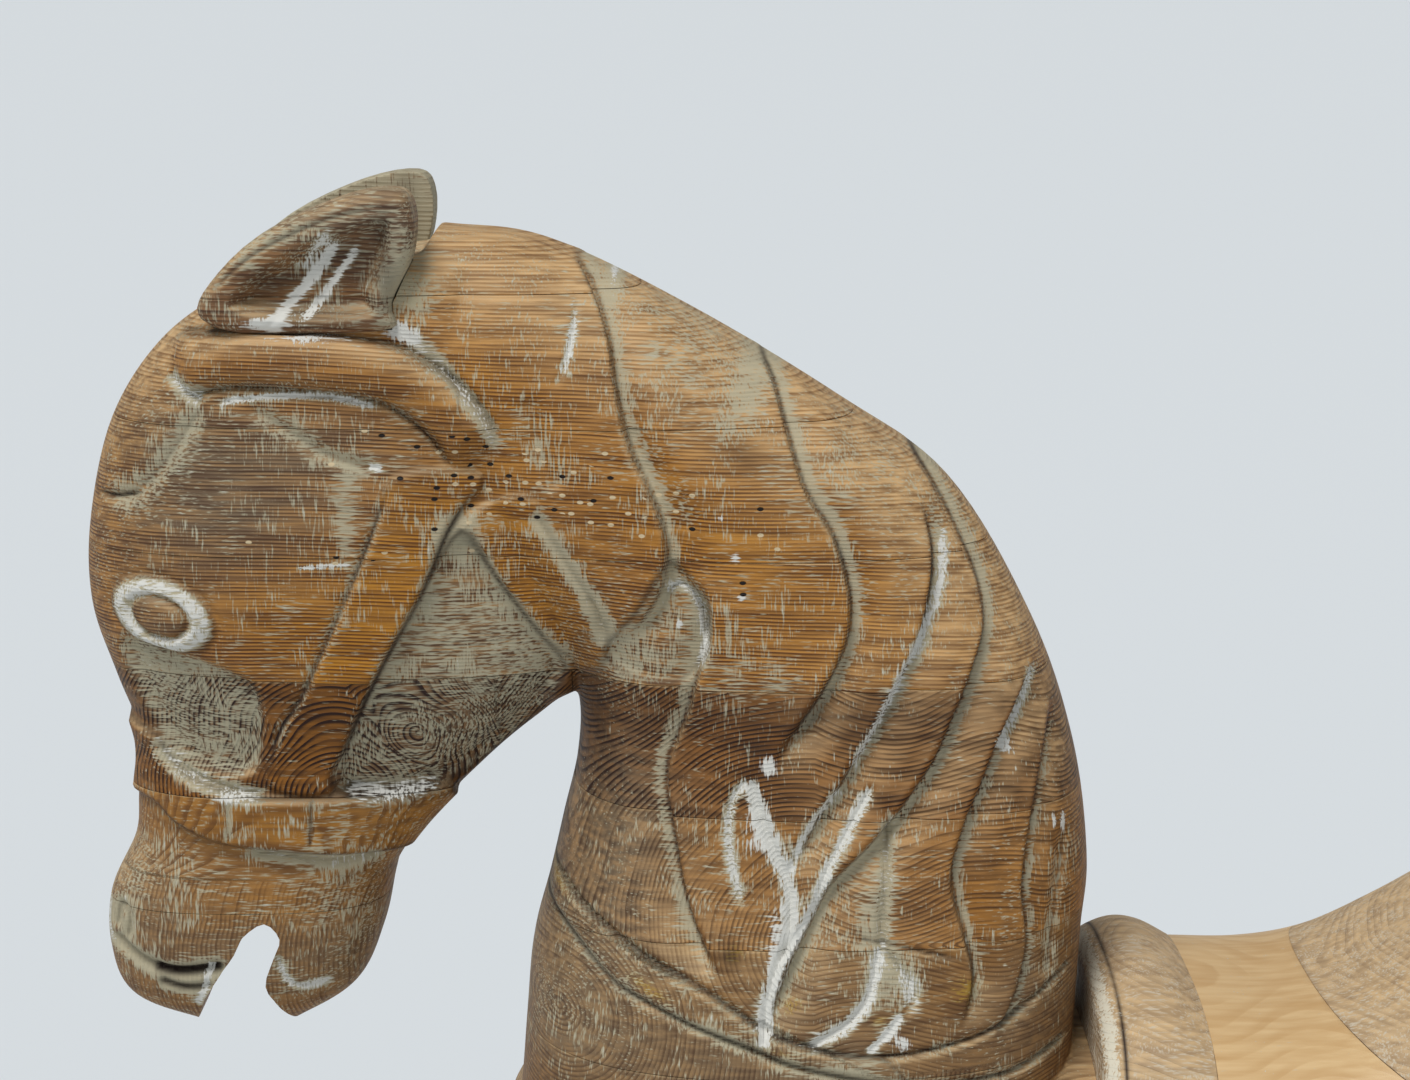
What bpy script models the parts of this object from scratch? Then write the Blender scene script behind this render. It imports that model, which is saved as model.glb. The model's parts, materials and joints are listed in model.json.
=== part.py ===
"""A carved wooden horse, glued up from sawn boards and standing on a plinth board.

The horse faces -X, its near side is -Y and +Z is up, with the origin under the plinth's middle.
Its whole outside is drawn first as one carved form, with the grooves of the mane and bridle cut
in.  The form is then sawn along the glue lines into the boards and blocks that a carver stacks.
Outlines are in millimetres on the nominal horse, and at() stretches them to the driving sizes.
"""

import math

import bmesh
import bpy
from mathutils import Vector
from mathutils.bvhtree import BVHTree

MM = 0.001

# Driving sizes, in metres.
HORSE_HEIGHT = 0.945  # plinth top to the crown between the ears
HORSE_LENGTH = 0.960  # nose to tail
HORSE_WIDTH = 0.264  # across the haunches
PLINTH_LENGTH = 0.800
PLINTH_WIDTH = 0.300
PLINTH_THICK = 0.040
LEG_DOWEL_RADIUS = 0.010
KNEE_DOWEL_RADIUS = 0.006
SCREW_RADIUS = 0.003
GLUE_GAP = 0.0003  # between two glued faces
FIT = 0.0003  # round each dowel, screw and tenon
SCREW_SUNK = 0.002  # each screw's head below the plinth's underside
PLINTH_EDGE = 0.004
EAR_EDGE = 0.003

# The nominal horse that the millimetre outlines describe.
NOMINAL_HEIGHT = 0.945
NOMINAL_LENGTH = 0.960
NOMINAL_WIDTH = 0.264
NOMINAL_PLINTH_TOP = 40.0

# The glue lines, in nominal millimetres: boards sawn 2 inches thick, counted from the throat.
BOARD = 50.8
THROAT_LINE = 790.0
CROWN_LINE = THROAT_LINE + 3 * BOARD
BROW_LINE = THROAT_LINE + 2 * BOARD
EYE_LINE = THROAT_LINE + BOARD
CHEEK_LINE = THROAT_LINE - BOARD
MUZZLE_LINE = THROAT_LINE - 2 * BOARD
WITHERS_LINE = THROAT_LINE - 3 * BOARD
BACK_LINE = THROAT_LINE - 4 * BOARD
BELLY_LINE = THROAT_LINE - 7 * BOARD
CHIN_LINE = WITHERS_LINE - 20.0
KNEE_LINE = 235.0
SADDLE_LANDING = 612.0
SADDLE_CUT_TOP = 660.0

# Where the upright joints stand, in nominal millimetres along X.
HEAD_TO_NECK = -321.5
HEAD_TO_NECK_LOW = -352.0
CHEST_TO_FLANK = -222.0
FLANK_TO_RUMP = 186.0
POMMEL_FRONT = -108.0
POMMEL_BACK = -64.0
SADDLE_END = 112.0
FLANK_BOARD_INNER = 64.0  # half the width of the sealed hollow in the body
REACH = 700.0  # past every edge of the horse

# How square each form's rings are: 2 is a circle.
HEAD_SQUARENESS = 2.7
BODY_SQUARENESS = 2.5
LEG_SQUARENESS = 2.3
SADDLE_SQUARENESS = 2.6

# Fixings, in nominal millimetres, and a screw's sizes as shares of its radius.
LEG_DOWEL_HALF = 42.0
KNEE_DOWEL_HALF = 28.0
SCREW_DEPTH = 24.0  # into the hoof
SCREW_HEAD_RADIUS = 2.0
SCREW_HEAD_HEIGHT = 1.3
SCREW_POINT = 0.3
SCREW_HOLE_PAST = 0.010  # metres that a screw's hole runs on below its head

# A gouge's size at the ends of its line, and its height over the surface, as shares of its radius.
GOUGE_RUN_OUT = 0.45
GOUGE_LIFT = 0.3

# Rows are: front or top edge (x, z), back or bottom edge (x, z), half the width.
HEAD_SECTIONS = [
    (-483, 634, -440, 632, 20),
    (-510, 646, -414, 649, 32),
    (-519, 667, -403, 672, 38),
    (-516, 690, -398, 694, 40),
    (-505, 714, -394, 705, 40),
    (-503, 733, -379, 725, 42),
    (-501, 757, -353, 751, 45),
    (-510, 785, -328, 772, 52),
    (-521, 815, -311, 785, 56),
    (-519, 849, -303, 828, 58),
    (-507, 890, -311, 882, 56),
    (-486, 921, -327, 923, 52),
    (-459, 939, -342, 951, 45),
    (-431, 947, -358, 961, 30),
]
NECK_SECTIONS = [
    (-421, 886, -374, 966, 40),
    (-385, 853, -332, 960, 52),
    (-352, 819, -274, 932, 60),
    (-328, 794, -213, 895, 65),
    (-320, 772, -168, 862, 68),
    (-321, 746, -134, 806, 72),
    (-327, 720, -116, 755, 76),
    (-333, 694, -109, 707, 81),
    (-340, 667, -111, 676, 87),
    (-343, 636, -113, 636, 93),
    (-346, 600, -115, 600, 97),
    (-352, 545, -120, 545, 100),
]
BODY_SECTIONS = [
    (-360, 560, -358, 494, 38),
    (-347, 600, -342, 464, 66),
    (-315, 628, -306, 446, 96),
    (-235, 633, -232, 442, 115),
    (-180, 630, -180, 413, 120),
    (-90, 626, -90, 397, 121),
    (20, 624, 20, 398, 120),
    (130, 629, 130, 412, 119),
    (197, 633, 197, 442, 120),
    (255, 633, 255, 446, 117),
    (310, 622, 310, 456, 98),
    (345, 596, 345, 486, 62),
    (357, 570, 357, 516, 34),
]
# Rows are: x, top edge z, half the width.
POMMEL_SECTIONS = [
    (-110, 640, 74),
    (-106, 654, 80),
    (-92, 662, 84),
    (-78, 660, 88),
    (-62, 650, 91),
]
SADDLE_SECTIONS = [
    (-64, 650, 91),
    (-30, 649, 94),
    (0, 655, 97),
    (30, 672, 99),
    (60, 693, 98),
    (85, 708, 93),
    (103, 712, 84),
    (112, 707, 76),
]
# Rows are: centre x, y, z, half the length, half the width.
FORE_LEG_SECTIONS = [
    (-262, 70, 566, 46, 38),
    (-268, 75, 520, 58, 50),
    (-272, 77, 465, 56, 50),
    (-277, 76, 420, 45, 43),
    (-281, 74, 370, 33, 33),
    (-285, 72, 310, 26, 26),
    (-288, 71, 262, 23, 22),
    (-290, 71, 238, 27, 24),
    (-289, 71, 212, 23, 21),
    (-286, 70, 165, 17, 17),
    (-285, 70, 118, 18, 17),
    (-290, 70, 98, 22, 21),
    (-299, 70, 78, 21, 21),
    (-306, 70, 62, 29, 27),
    (-311, 70, 40, 36, 32),
]
HIND_LEG_SECTIONS = [
    (248, 70, 600, 54, 36),
    (258, 77, 545, 76, 50),
    (262, 80, 485, 77, 52),
    (258, 78, 428, 62, 47),
    (256, 75, 372, 44, 37),
    (266, 72, 322, 32, 28),
    (284, 71, 276, 27, 23),
    (291, 71, 248, 29, 23),
    (288, 71, 220, 23, 21),
    (281, 70, 165, 18, 18),
    (276, 70, 118, 19, 18),
    (270, 70, 98, 22, 21),
    (262, 70, 78, 21, 21),
    (256, 70, 62, 29, 27),
    (251, 70, 40, 36, 32),
]
# Rows are: centre x, z, half the thickness, half the width.
TAIL_SECTIONS = [
    (318, 588, 17, 17),
    (372, 596, 17, 17),
    (392, 594, 21, 24),
    (412, 576, 24, 30),
    (420, 540, 24, 34),
    (421, 490, 23, 36),
    (417, 430, 24, 37),
    (412, 370, 23, 36),
    (413, 310, 22, 33),
    (420, 255, 19, 28),
    (430, 210, 14, 20),
    (436, 178, 7, 10),
]
TAIL_TENON_ROWS = 2
LEG_TOP_ROW, KNEE_ROW = 3, 7  # the rows whose centres carry a leg's dowels
# Each leg: front-to-back offset of its hoof from straight below the body.
STANCE = {"near_fore": -14, "off_fore": 20, "near_hind": 22, "off_hind": -16}

# Lines along the near side as (x, z), cut alike into both sides.
CARVED_LINES = {
    "forelock": (3.0, [(-472, 890), (-486, 870), (-503, 859)]),
    "browband": (3.5, [(-462, 903), (-448, 907), (-409, 906), (-386, 901), (-356, 887)]),
    "cheek_strap_front": (3.0, [(-389, 872), (-399, 848), (-420, 800), (-439, 765), (-443, 748)]),
    "cheek_strap_back": (3.5, [(-362, 862), (-380, 824), (-396, 795), (-409, 767), (-416, 746)]),
    "throatlatch": (3.0, [(-340, 868), (-325, 846), (-313, 828), (-308, 812), (-310, 797)]),
    "noseband_top": (3.5, [(-490, 757), (-475, 746), (-445, 739), (-410, 738), (-384, 741)]),
    "noseband_base": (3.5, [(-490, 733), (-482, 727), (-466, 720), (-428, 715), (-403, 715)]),
    "lips": (2.5, [(-511, 678), (-497, 665), (-484, 662), (-472, 663)]),
    "mane_edge": (5.0, [(-322, 955), (-309, 935), (-302, 905), (-290, 868), (-285, 830), (-303, 806)]),
    "neck_front": (4.0, [(-268, 830), (-269, 803), (-281, 765), (-278, 722), (-263, 680)]),
    "lock_1": (5.0, [(-255, 925), (-240, 902), (-220, 855), (-212, 822), (-222, 792), (-242, 764)]),
    "lock_2": (4.5, [(-186, 862), (-180, 838), (-187, 805), (-208, 765), (-232, 726)]),
    "lock_3": (5.0, [(-196, 888), (-170, 848), (-159, 815), (-175, 768), (-212, 720), (-240, 668)]),
    "lock_4": (4.5, [(-140, 786), (-157, 755), (-170, 716), (-164, 682), (-168, 660)]),
    "lock_5": (4.0, [(-131, 768), (-140, 725), (-141, 690), (-152, 655)]),
    "collar_top": (4.0, [(-326, 704), (-300, 685), (-258, 662), (-219, 648), (-175, 648), (-130, 664)]),
    "collar_base": (4.0, [(-330, 690), (-305, 671), (-264, 651), (-222, 627), (-170, 618), (-125, 621)]),
}
MOUTH_SLOT = [
    (-457, 678), (-448, 684), (-442, 677), (-445, 668), (-449, 655), (-444, 643), (-436, 622),
    (-481, 622), (-477, 643), (-469, 658), (-461, 670),
]
NEAR_EAR = [
    (-464, 936), (-459, 948), (-440, 966), (-410, 980), (-387, 984), (-380, 976), (-381, 958),
    (-389, 940), (-389, 930), (-425, 928), (-452, 929),
]
EAR_INNER, EAR_OUTER = 32.0, 56.0
CANTLE_JOINT = [(-30, 660), (60, 606), (REACH, 606), (REACH, REACH * 2), (-30, REACH * 2)]

# Round features of the off side: centre (x, y, z) and half sizes.
EYEBALL = ((-484, 48, 815), (19, 10, 13))
NOSTRIL = ((-507, 33, 682), (5, 8, 11))
EAR_HOLLOW = ((-421, EAR_OUTER + 6, 951), (29, 18, 17))

# Colours are linear RGB.
AGED_PINE = (0.235, 0.135, 0.062)
GREY_PINE = (0.215, 0.160, 0.105)
ORANGE_PINE = (0.260, 0.120, 0.038)
PALE_PINE = (0.580, 0.400, 0.200)
LIMED_PINE = (0.420, 0.340, 0.235)
DARK_PINE = (0.120, 0.070, 0.035)
BIRCH = (0.560, 0.430, 0.270)
STEEL = (0.480, 0.470, 0.450)


def at(x, y, z):
    """A point of the nominal horse, in millimetres, placed on this one, in metres."""
    return Vector((
        x * MM * HORSE_LENGTH / NOMINAL_LENGTH,
        y * MM * HORSE_WIDTH / NOMINAL_WIDTH,
        PLINTH_THICK + (z - NOMINAL_PLINTH_TOP) * MM * HORSE_HEIGHT / NOMINAL_HEIGHT,
    ))


def clear_scene():
    """Removes every object the scene starts with."""
    for old in list(bpy.data.objects):
        bpy.data.objects.remove(old, do_unlink=True)


def material(name, colour, roughness, metallic=0.0):
    """A plain Principled material for one sub-part."""
    finish = bpy.data.materials.new(name)
    finish.use_nodes = True
    shader = finish.node_tree.nodes["Principled BSDF"]
    shader.inputs["Base Color"].default_value = (*colour, 1.0)
    shader.inputs["Roughness"].default_value = roughness
    shader.inputs["Metallic"].default_value = metallic
    finish.diffuse_color = (*colour, 1.0)
    return finish


def dress(part, colour, roughness=0.75, metallic=0.0, crease=40.0):
    """Gives a finished sub-part its own material and smooth round sides."""
    part.data.materials.clear()
    part.data.materials.append(material(part.name, colour, roughness, metallic))
    part.data.shade_smooth()
    part.data.set_sharp_from_angle(angle=math.radians(crease))
    return part


def add_object(name, bm):
    """Turns a bmesh into an object of the scene, in flat faces that point out."""
    bmesh.ops.connect_verts_nonplanar(bm, angle_limit=math.radians(0.01), faces=bm.faces)
    bmesh.ops.recalc_face_normals(bm, faces=bm.faces)
    mesh = bpy.data.meshes.new(name)
    bm.to_mesh(mesh)
    bm.free()
    part = bpy.data.objects.new(name, mesh)
    bpy.context.scene.collection.objects.link(part)
    return part


def loft(name, rings):
    """A closed skin through rings of equally many points, capped at both ends."""
    bm = bmesh.new()
    loops = [[bm.verts.new(point) for point in ring] for ring in rings]
    for lower, upper in zip(loops, loops[1:]):
        for i, corner in enumerate(lower):
            j = (i + 1) % len(lower)
            bm.faces.new((corner, lower[j], upper[j], upper[i]))
    bm.faces.new(loops[0])
    bm.faces.new(loops[-1])
    return add_object(name, bm)


def prism(name, outline, y_from, y_to, grow=0.0):
    """An outline of (x, z) points, moved out by grow, and extruded along Y."""
    points = offset_outline(outline, grow)
    return loft(name, [[at(x, y, z) for x, z in points] for y in (y_from, y_to)])


def offset_outline(outline, grow):
    """Moves each corner of a closed outline out by the same distance from both its sides."""
    area = sum(a[0] * b[1] - b[0] * a[1] for a, b in zip(outline, outline[1:] + outline[:1]))
    turn = math.copysign(1.0, area)
    moved = []
    for i, (x, z) in enumerate(outline):
        before = Vector((x, z)) - Vector(outline[i - 1])
        after = Vector(outline[(i + 1) % len(outline)]) - Vector((x, z))
        out_before = Vector((before.y, -before.x)).normalized() * turn
        out_after = Vector((after.y, -after.x)).normalized() * turn
        miter = (out_before + out_after) / (1.0 + out_before.dot(out_after))
        moved.append((x + miter.x * grow, z + miter.y * grow))
    return moved


def box(name, x_range, y_range, z_range, gap=0.0):
    """A box given in nominal millimetres, drawn in by half a gap on all sides."""
    low = at(x_range[0], y_range[0], z_range[0]) + Vector((gap, gap, gap)) / 2
    high = at(x_range[1], y_range[1], z_range[1]) - Vector((gap, gap, gap)) / 2
    corners = [(low.x, low.y), (high.x, low.y), (high.x, high.y), (low.x, high.y)]
    return loft(name, [[Vector((x, y, z)) for x, y in corners] for z in (low.z, high.z)])


def rod(name, start, end, radius, sides=12, end_radius=None):
    """A straight round bar, or a cone where its end has another radius."""
    along = (end - start).normalized()
    across = along.cross(Vector((0, 1, 0)))
    across = across.normalized() if across.length > 0.1 else Vector((1, 0, 0))
    other = along.cross(across)
    rings = []
    for centre, size in ((start, radius), (end, end_radius or radius)):
        angles = [math.tau * k / sides for k in range(sides)]
        rings.append([centre + (across * math.cos(a) + other * math.sin(a)) * size for a in angles])
    return loft(name, rings)


def boolean(target, cutter, operation):
    """Applies one Boolean to target and throws the other solid away."""
    modifier = target.modifiers.new(operation.title(), "BOOLEAN")
    modifier.operation = operation
    modifier.object = cutter
    bpy.context.view_layer.update()
    shaped = target.evaluated_get(bpy.context.evaluated_depsgraph_get())
    mesh = bpy.data.meshes.new_from_object(shaped)
    target.modifiers.clear()
    target.data = mesh
    bpy.data.objects.remove(cutter, do_unlink=True)
    return target


def rounded(angle, squareness):
    """A point of the unit superellipse: 2 is a circle and more is squarer."""
    power = 2.0 / squareness
    c, s = math.cos(angle), math.sin(angle)
    return math.copysign(abs(c) ** power, c), math.copysign(abs(s) ** power, s)


def profile_ring(row, sides, squareness):
    """A ring from a front edge to a back edge, bulging to half a width on each side."""
    front_x, front_z, back_x, back_z, half = row
    ring = []
    for k in range(sides):
        along, across = rounded(math.tau * (k + 0.5) / sides, squareness)
        x = (front_x + back_x) / 2 + along * (front_x - back_x) / 2
        z = (front_z + back_z) / 2 + along * (front_z - back_z) / 2
        ring.append(at(x, across * half, z))
    return ring


def carved_mass(name, sections, squareness, sides=16):
    """One mass of the carving, through its rows of edges and half widths."""
    return loft(name, [profile_ring(row, sides, squareness) for row in sections])


def leg_form(name, sections, side, stance, sides=12):
    """One whole leg: level rings that lean to the hoof's place below the body."""
    rings = []
    for x, y, z, half_x, half_y in sections:
        lean = stance * max(0.0, BELLY_LINE - z) / (BELLY_LINE - NOMINAL_PLINTH_TOP)
        ring = []
        for k in range(sides):
            along, across = rounded(math.tau * (k + 0.5) / sides, LEG_SQUARENESS)
            ring.append(at(x + lean + along * half_x, side * y + across * half_y, z))
        rings.append(ring)
    return loft(name, rings)


def hoof_centre(sections, side, stance):
    """Where the middle of a hoof stands, as (x, y) in nominal millimetres."""
    x, y = sections[-1][:2]
    return x + stance, side * y


def tail_rings(rows, grow=0.0, sides=12):
    """Rings square to the tail's path.  The tenon's rows share one direction."""
    rings = []
    for i, (x, z, half_thick, half_wide) in enumerate(rows):
        first, last = (0, 1) if i < TAIL_TENON_ROWS else (i - 1, min(i + 1, len(rows) - 1))
        run_x, run_z = rows[last][0] - rows[first][0], rows[last][1] - rows[first][1]
        run = math.hypot(run_x, run_z)
        out_x, out_z = -run_z / run, run_x / run
        ring = []
        for k in range(sides):
            up, across = rounded(math.tau * k / sides, 2.0)
            off = up * (half_thick + grow)
            ring.append(at(x + out_x * off, across * (half_wide + grow), z + out_z * off))
        rings.append(ring)
    return rings


def mortise():
    """The hole for the tail's tenon: the tenon itself, grown by the fit and made longer."""
    (x0, z0, thick, wide), (x1, z1, _, _) = TAIL_SECTIONS[:2]
    clearance = FIT / MM
    step = clearance / (x1 - x0)
    start = (x0 - (x1 - x0) * step, z0 - (z1 - z0) * step, thick, wide)
    end = (2 * x1 - x0, 2 * z1 - z0, thick, wide)
    return loft("mortise", tail_rings([start, end], clearance))


def surface_line(tree, line, side):
    """Follows an (x, z) line over the form's side: the points reached and the faces' normals."""
    found = []
    for x, z in line:
        start = at(x, side * REACH, z)
        point, normal, _, _ = tree.ray_cast(start, Vector((0, -side, 0)))
        if point is not None:
            found.append((point, normal))
    return found


def groove(name, tree, line, radius, side, sides=6):
    """A round gouge that follows a line over the form and runs out at both ends."""
    path = surface_line(tree, line, side)
    rings = []
    for i, (point, normal) in enumerate(path):
        tangent = (path[min(i + 1, len(path) - 1)][0] - path[max(i - 1, 0)][0]).normalized()
        across = tangent.cross(normal).normalized()
        out = across.cross(tangent).normalized()
        size = radius * MM * (GOUGE_RUN_OUT if i in (0, len(path) - 1) else 1.0)
        centre = point + out * size * GOUGE_LIFT
        angles = [math.tau * k / sides for k in range(sides)]
        rings.append([centre + (out * math.cos(a) + across * math.sin(a)) * size for a in angles])
    return loft(name, rings)


def ball(name, shape, side, rows=8, sides=12):
    """An ellipsoid on one side of the horse, from its centre and half sizes."""
    (x, y, z), half_sizes = shape
    bm = bmesh.new()
    bmesh.ops.create_uvsphere(bm, u_segments=sides, v_segments=rows, radius=1.0)
    for vertex in bm.verts:
        vertex.co = at(*(c + h * v for c, h, v in zip((x, side * y, z), half_sizes, vertex.co)))
    return add_object(name, bm)


def horse_form():
    """The whole carved outside as one solid, from the crown to the hoofs."""
    form = carved_mass("form", BODY_SECTIONS, BODY_SQUARENESS)
    boolean(form, carved_mass("neck", NECK_SECTIONS, BODY_SQUARENESS), "UNION")
    boolean(form, carved_mass("head", HEAD_SECTIONS, HEAD_SQUARENESS), "UNION")
    for leg, stance in STANCE.items():
        sections = FORE_LEG_SECTIONS if "fore" in leg else HIND_LEG_SECTIONS
        boolean(form, leg_form(leg, sections, leg_side(leg), stance), "UNION")
    for side in (-1, 1):
        boolean(form, ball("eye", EYEBALL, side), "UNION")
        boolean(form, ball("nostril", NOSTRIL, side, 6, 8), "DIFFERENCE")
    return form


def leg_side(leg):
    """-1 for the near legs and 1 for the off legs."""
    return -1 if leg.startswith("near") else 1


def carve_lines(form):
    """Cuts the gouged lines of mane, bridle and collar into both sides."""
    uncut = bmesh.new()
    uncut.from_mesh(form.data)
    tree = BVHTree.FromBMesh(uncut)
    for name, (radius, line) in CARVED_LINES.items():
        for side in (-1, 1):
            boolean(form, groove(name, tree, line, radius, side), "DIFFERENCE")
    uncut.free()


def cut_seats(form):
    """Cuts the mouth, the ledges for the ears, the saddle's landing and the tail's mortise."""
    boolean(form, prism("mouth", MOUTH_SLOT, -REACH, REACH), "DIFFERENCE")
    clearance = GLUE_GAP / MM
    for side in (-1, 1):
        seat = prism("seat", NEAR_EAR, side * (EAR_INNER - clearance), side * REACH, clearance)
        boolean(form, seat, "DIFFERENCE")
    landing = box("landing", (POMMEL_FRONT, REACH), (-REACH, REACH), (SADDLE_LANDING, SADDLE_CUT_TOP))
    end = box("end", (SADDLE_END, 2 * REACH), (-REACH - 1, REACH + 1), (0, REACH))
    boolean(landing, end, "DIFFERENCE")
    boolean(form, landing, "DIFFERENCE")
    boolean(form, mortise(), "DIFFERENCE")


def saw(form, name, x_range, y_range, z_range):
    """The board or block that the form leaves inside one blank, less the glue's thickness."""
    part = bpy.data.objects.new(name, form.data.copy())
    bpy.context.scene.collection.objects.link(part)
    return boolean(part, box("blank", x_range, y_range, z_range, GLUE_GAP), "INTERSECT")


def head_and_neck(form):
    """The stacked boards, from the crown down to the withers."""
    everything = (-REACH, REACH)
    saw_list = [
        ("crown_board", everything, (CROWN_LINE, REACH * 2), AGED_PINE),
        ("brow_board", everything, (BROW_LINE, CROWN_LINE), AGED_PINE),
        ("forehead_board", everything, (EYE_LINE, BROW_LINE), AGED_PINE),
        ("eye_board", everything, (THROAT_LINE, EYE_LINE), AGED_PINE),
        ("cheek_board", (-REACH, HEAD_TO_NECK), (CHEEK_LINE, THROAT_LINE), AGED_PINE),
        ("noseband_board", (-REACH, HEAD_TO_NECK_LOW), (MUZZLE_LINE, CHEEK_LINE), GREY_PINE),
        ("muzzle_board", (-REACH, HEAD_TO_NECK_LOW), (CHIN_LINE, MUZZLE_LINE), GREY_PINE),
        ("upper_neck_board", (HEAD_TO_NECK, REACH), (CHEEK_LINE, THROAT_LINE), ORANGE_PINE),
        ("middle_neck_board", (HEAD_TO_NECK_LOW, REACH), (MUZZLE_LINE, CHEEK_LINE), ORANGE_PINE),
        ("collar_board", (HEAD_TO_NECK_LOW, REACH), (WITHERS_LINE, MUZZLE_LINE), LIMED_PINE),
    ]
    for name, x_range, z_range, colour in saw_list:
        dress(saw(form, name, x_range, everything, z_range), colour)


def body(form):
    """The hollow body: a board along the back, blocks at both ends and boards round the rest."""
    everything = (-REACH, REACH)
    barrel = (BELLY_LINE, BACK_LINE)
    behind_head = (BODY_SECTIONS[0][0] - BOARD, REACH)
    dress(saw(form, "back_board", behind_head, everything, (BACK_LINE, WITHERS_LINE)), AGED_PINE)
    dress(saw(form, "chest_block", (-REACH, CHEST_TO_FLANK), everything, barrel), AGED_PINE)
    dress(saw(form, "rump_block", (FLANK_TO_RUMP, REACH), everything, barrel), AGED_PINE)
    flank = (CHEST_TO_FLANK, FLANK_TO_RUMP)
    dress(saw(form, "near_flank_board", flank, (-REACH, -FLANK_BOARD_INNER), barrel), AGED_PINE)
    dress(saw(form, "off_flank_board", flank, (FLANK_BOARD_INNER, REACH), barrel), AGED_PINE)
    dress(saw(form, "belly_board", flank, everything, (BELLY_LINE - BOARD, BELLY_LINE)), AGED_PINE)


def legs(form):
    """Four legs, each sawn at the knee or hock, with their dowels and hoof screws."""
    for leg, stance in STANCE.items():
        side = leg_side(leg)
        fore = "fore" in leg
        sections = FORE_LEG_SECTIONS if fore else HIND_LEG_SECTIONS
        x_range = (-REACH, CHEST_TO_FLANK) if fore else (FLANK_TO_RUMP, REACH)
        y_range = (-REACH, 0) if side < 0 else (0, REACH)
        top_x, top_y = sections[LEG_TOP_ROW][0], side * sections[LEG_TOP_ROW][1]
        knee_lean = stance * (BELLY_LINE - KNEE_LINE) / (BELLY_LINE - NOMINAL_PLINTH_TOP)
        knee_x, knee_y = sections[KNEE_ROW][0] + knee_lean, side * sections[KNEE_ROW][1]
        hoof_x, hoof_y = hoof_centre(sections, side, stance)

        top, knee = (top_x, top_y), (knee_x, knee_y)
        dowel(form, f"{leg}_leg_dowel", top, BELLY_LINE, LEG_DOWEL_HALF, LEG_DOWEL_RADIUS)
        dowel(form, f"{leg}_knee_dowel", knee, KNEE_LINE, KNEE_DOWEL_HALF, KNEE_DOWEL_RADIUS)
        hoof_screw(form, f"{leg}_hoof_screw", (hoof_x, hoof_y))

        dress(saw(form, f"{leg}_upper_leg", x_range, y_range, (KNEE_LINE, BELLY_LINE)), AGED_PINE)
        lower = (NOMINAL_PLINTH_TOP, KNEE_LINE)
        dress(saw(form, f"{leg}_lower_leg", x_range, y_range, lower), GREY_PINE)


def dowel(form, name, place, joint_z, half_length, radius):
    """An upright birch dowel across a joint, and the hole bored for it."""
    low, high = (at(*place, joint_z + k * half_length) for k in (-1, 1))
    up = Vector((0, 0, FIT))
    boolean(form, rod("bore", low - up, high + up, radius + FIT), "DIFFERENCE")
    dress(rod(name, low, high, radius), BIRCH, 0.6)


def screw_shape(name, place, clearance, sides=12):
    """A countersunk screw pointing up from the plinth's underside into a hoof, or its hole."""
    centre = at(*place, NOMINAL_PLINTH_TOP)
    tip_z = at(*place, NOMINAL_PLINTH_TOP + SCREW_DEPTH).z + clearance
    bottom_z = SCREW_SUNK - clearance
    head_top_z = SCREW_SUNK + SCREW_RADIUS * SCREW_HEAD_HEIGHT
    head = SCREW_RADIUS * SCREW_HEAD_RADIUS + clearance
    shank = SCREW_RADIUS + clearance
    rows = [
        (bottom_z, head),
        (head_top_z, shank),
        (tip_z - SCREW_RADIUS, shank),
        (tip_z, shank * SCREW_POINT),
    ]
    if clearance:
        rows.insert(0, (bottom_z - SCREW_HOLE_PAST, head))
    angles = [math.tau * k / sides for k in range(sides)]
    return loft(name, [
        [Vector((centre.x + math.cos(a) * size, centre.y + math.sin(a) * size, z)) for a in angles]
        for z, size in rows
    ])


def hoof_screw(form, name, place):
    """One hoof's screw, and its hole in the hoof.  plinth() bores the rest."""
    boolean(form, screw_shape("bore", place, FIT), "DIFFERENCE")
    dress(screw_shape(name, place, 0.0), STEEL, 0.4, 1.0)


def plinth():
    """The board under the hoofs, with softened edges and a countersunk hole for each screw."""
    bm = bmesh.new()
    bmesh.ops.create_cube(bm, size=1.0)
    board = add_object("plinth_board", bm)
    for vertex in board.data.vertices:
        x, y, z = vertex.co
        vertex.co = (x * PLINTH_LENGTH, y * PLINTH_WIDTH, (z + 0.5) * (PLINTH_THICK - GLUE_GAP / 2))
    bevel = board.modifiers.new("Edges", "BEVEL")
    bevel.width = PLINTH_EDGE
    bevel.segments = 2
    for leg, stance in STANCE.items():
        sections = FORE_LEG_SECTIONS if "fore" in leg else HIND_LEG_SECTIONS
        place = hoof_centre(sections, leg_side(leg), stance)
        boolean(board, screw_shape("bore", place, FIT), "DIFFERENCE")
    dress(board, DARK_PINE, crease=30.0)


def ears():
    """Two leaf-shaped ears, hollowed on their outer faces, glued on the ledges of the head."""
    for name, side in (("near_ear", -1), ("off_ear", 1)):
        ear = prism(name, NEAR_EAR, side * EAR_INNER, side * EAR_OUTER)
        boolean(ear, ball("hollow", EAR_HOLLOW, side, 8, 14), "DIFFERENCE")
        bevel = ear.modifiers.new("Edges", "BEVEL")
        bevel.width = EAR_EDGE
        bevel.segments = 2
        bevel.angle_limit = math.radians(50)
        dress(ear, AGED_PINE)


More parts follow.
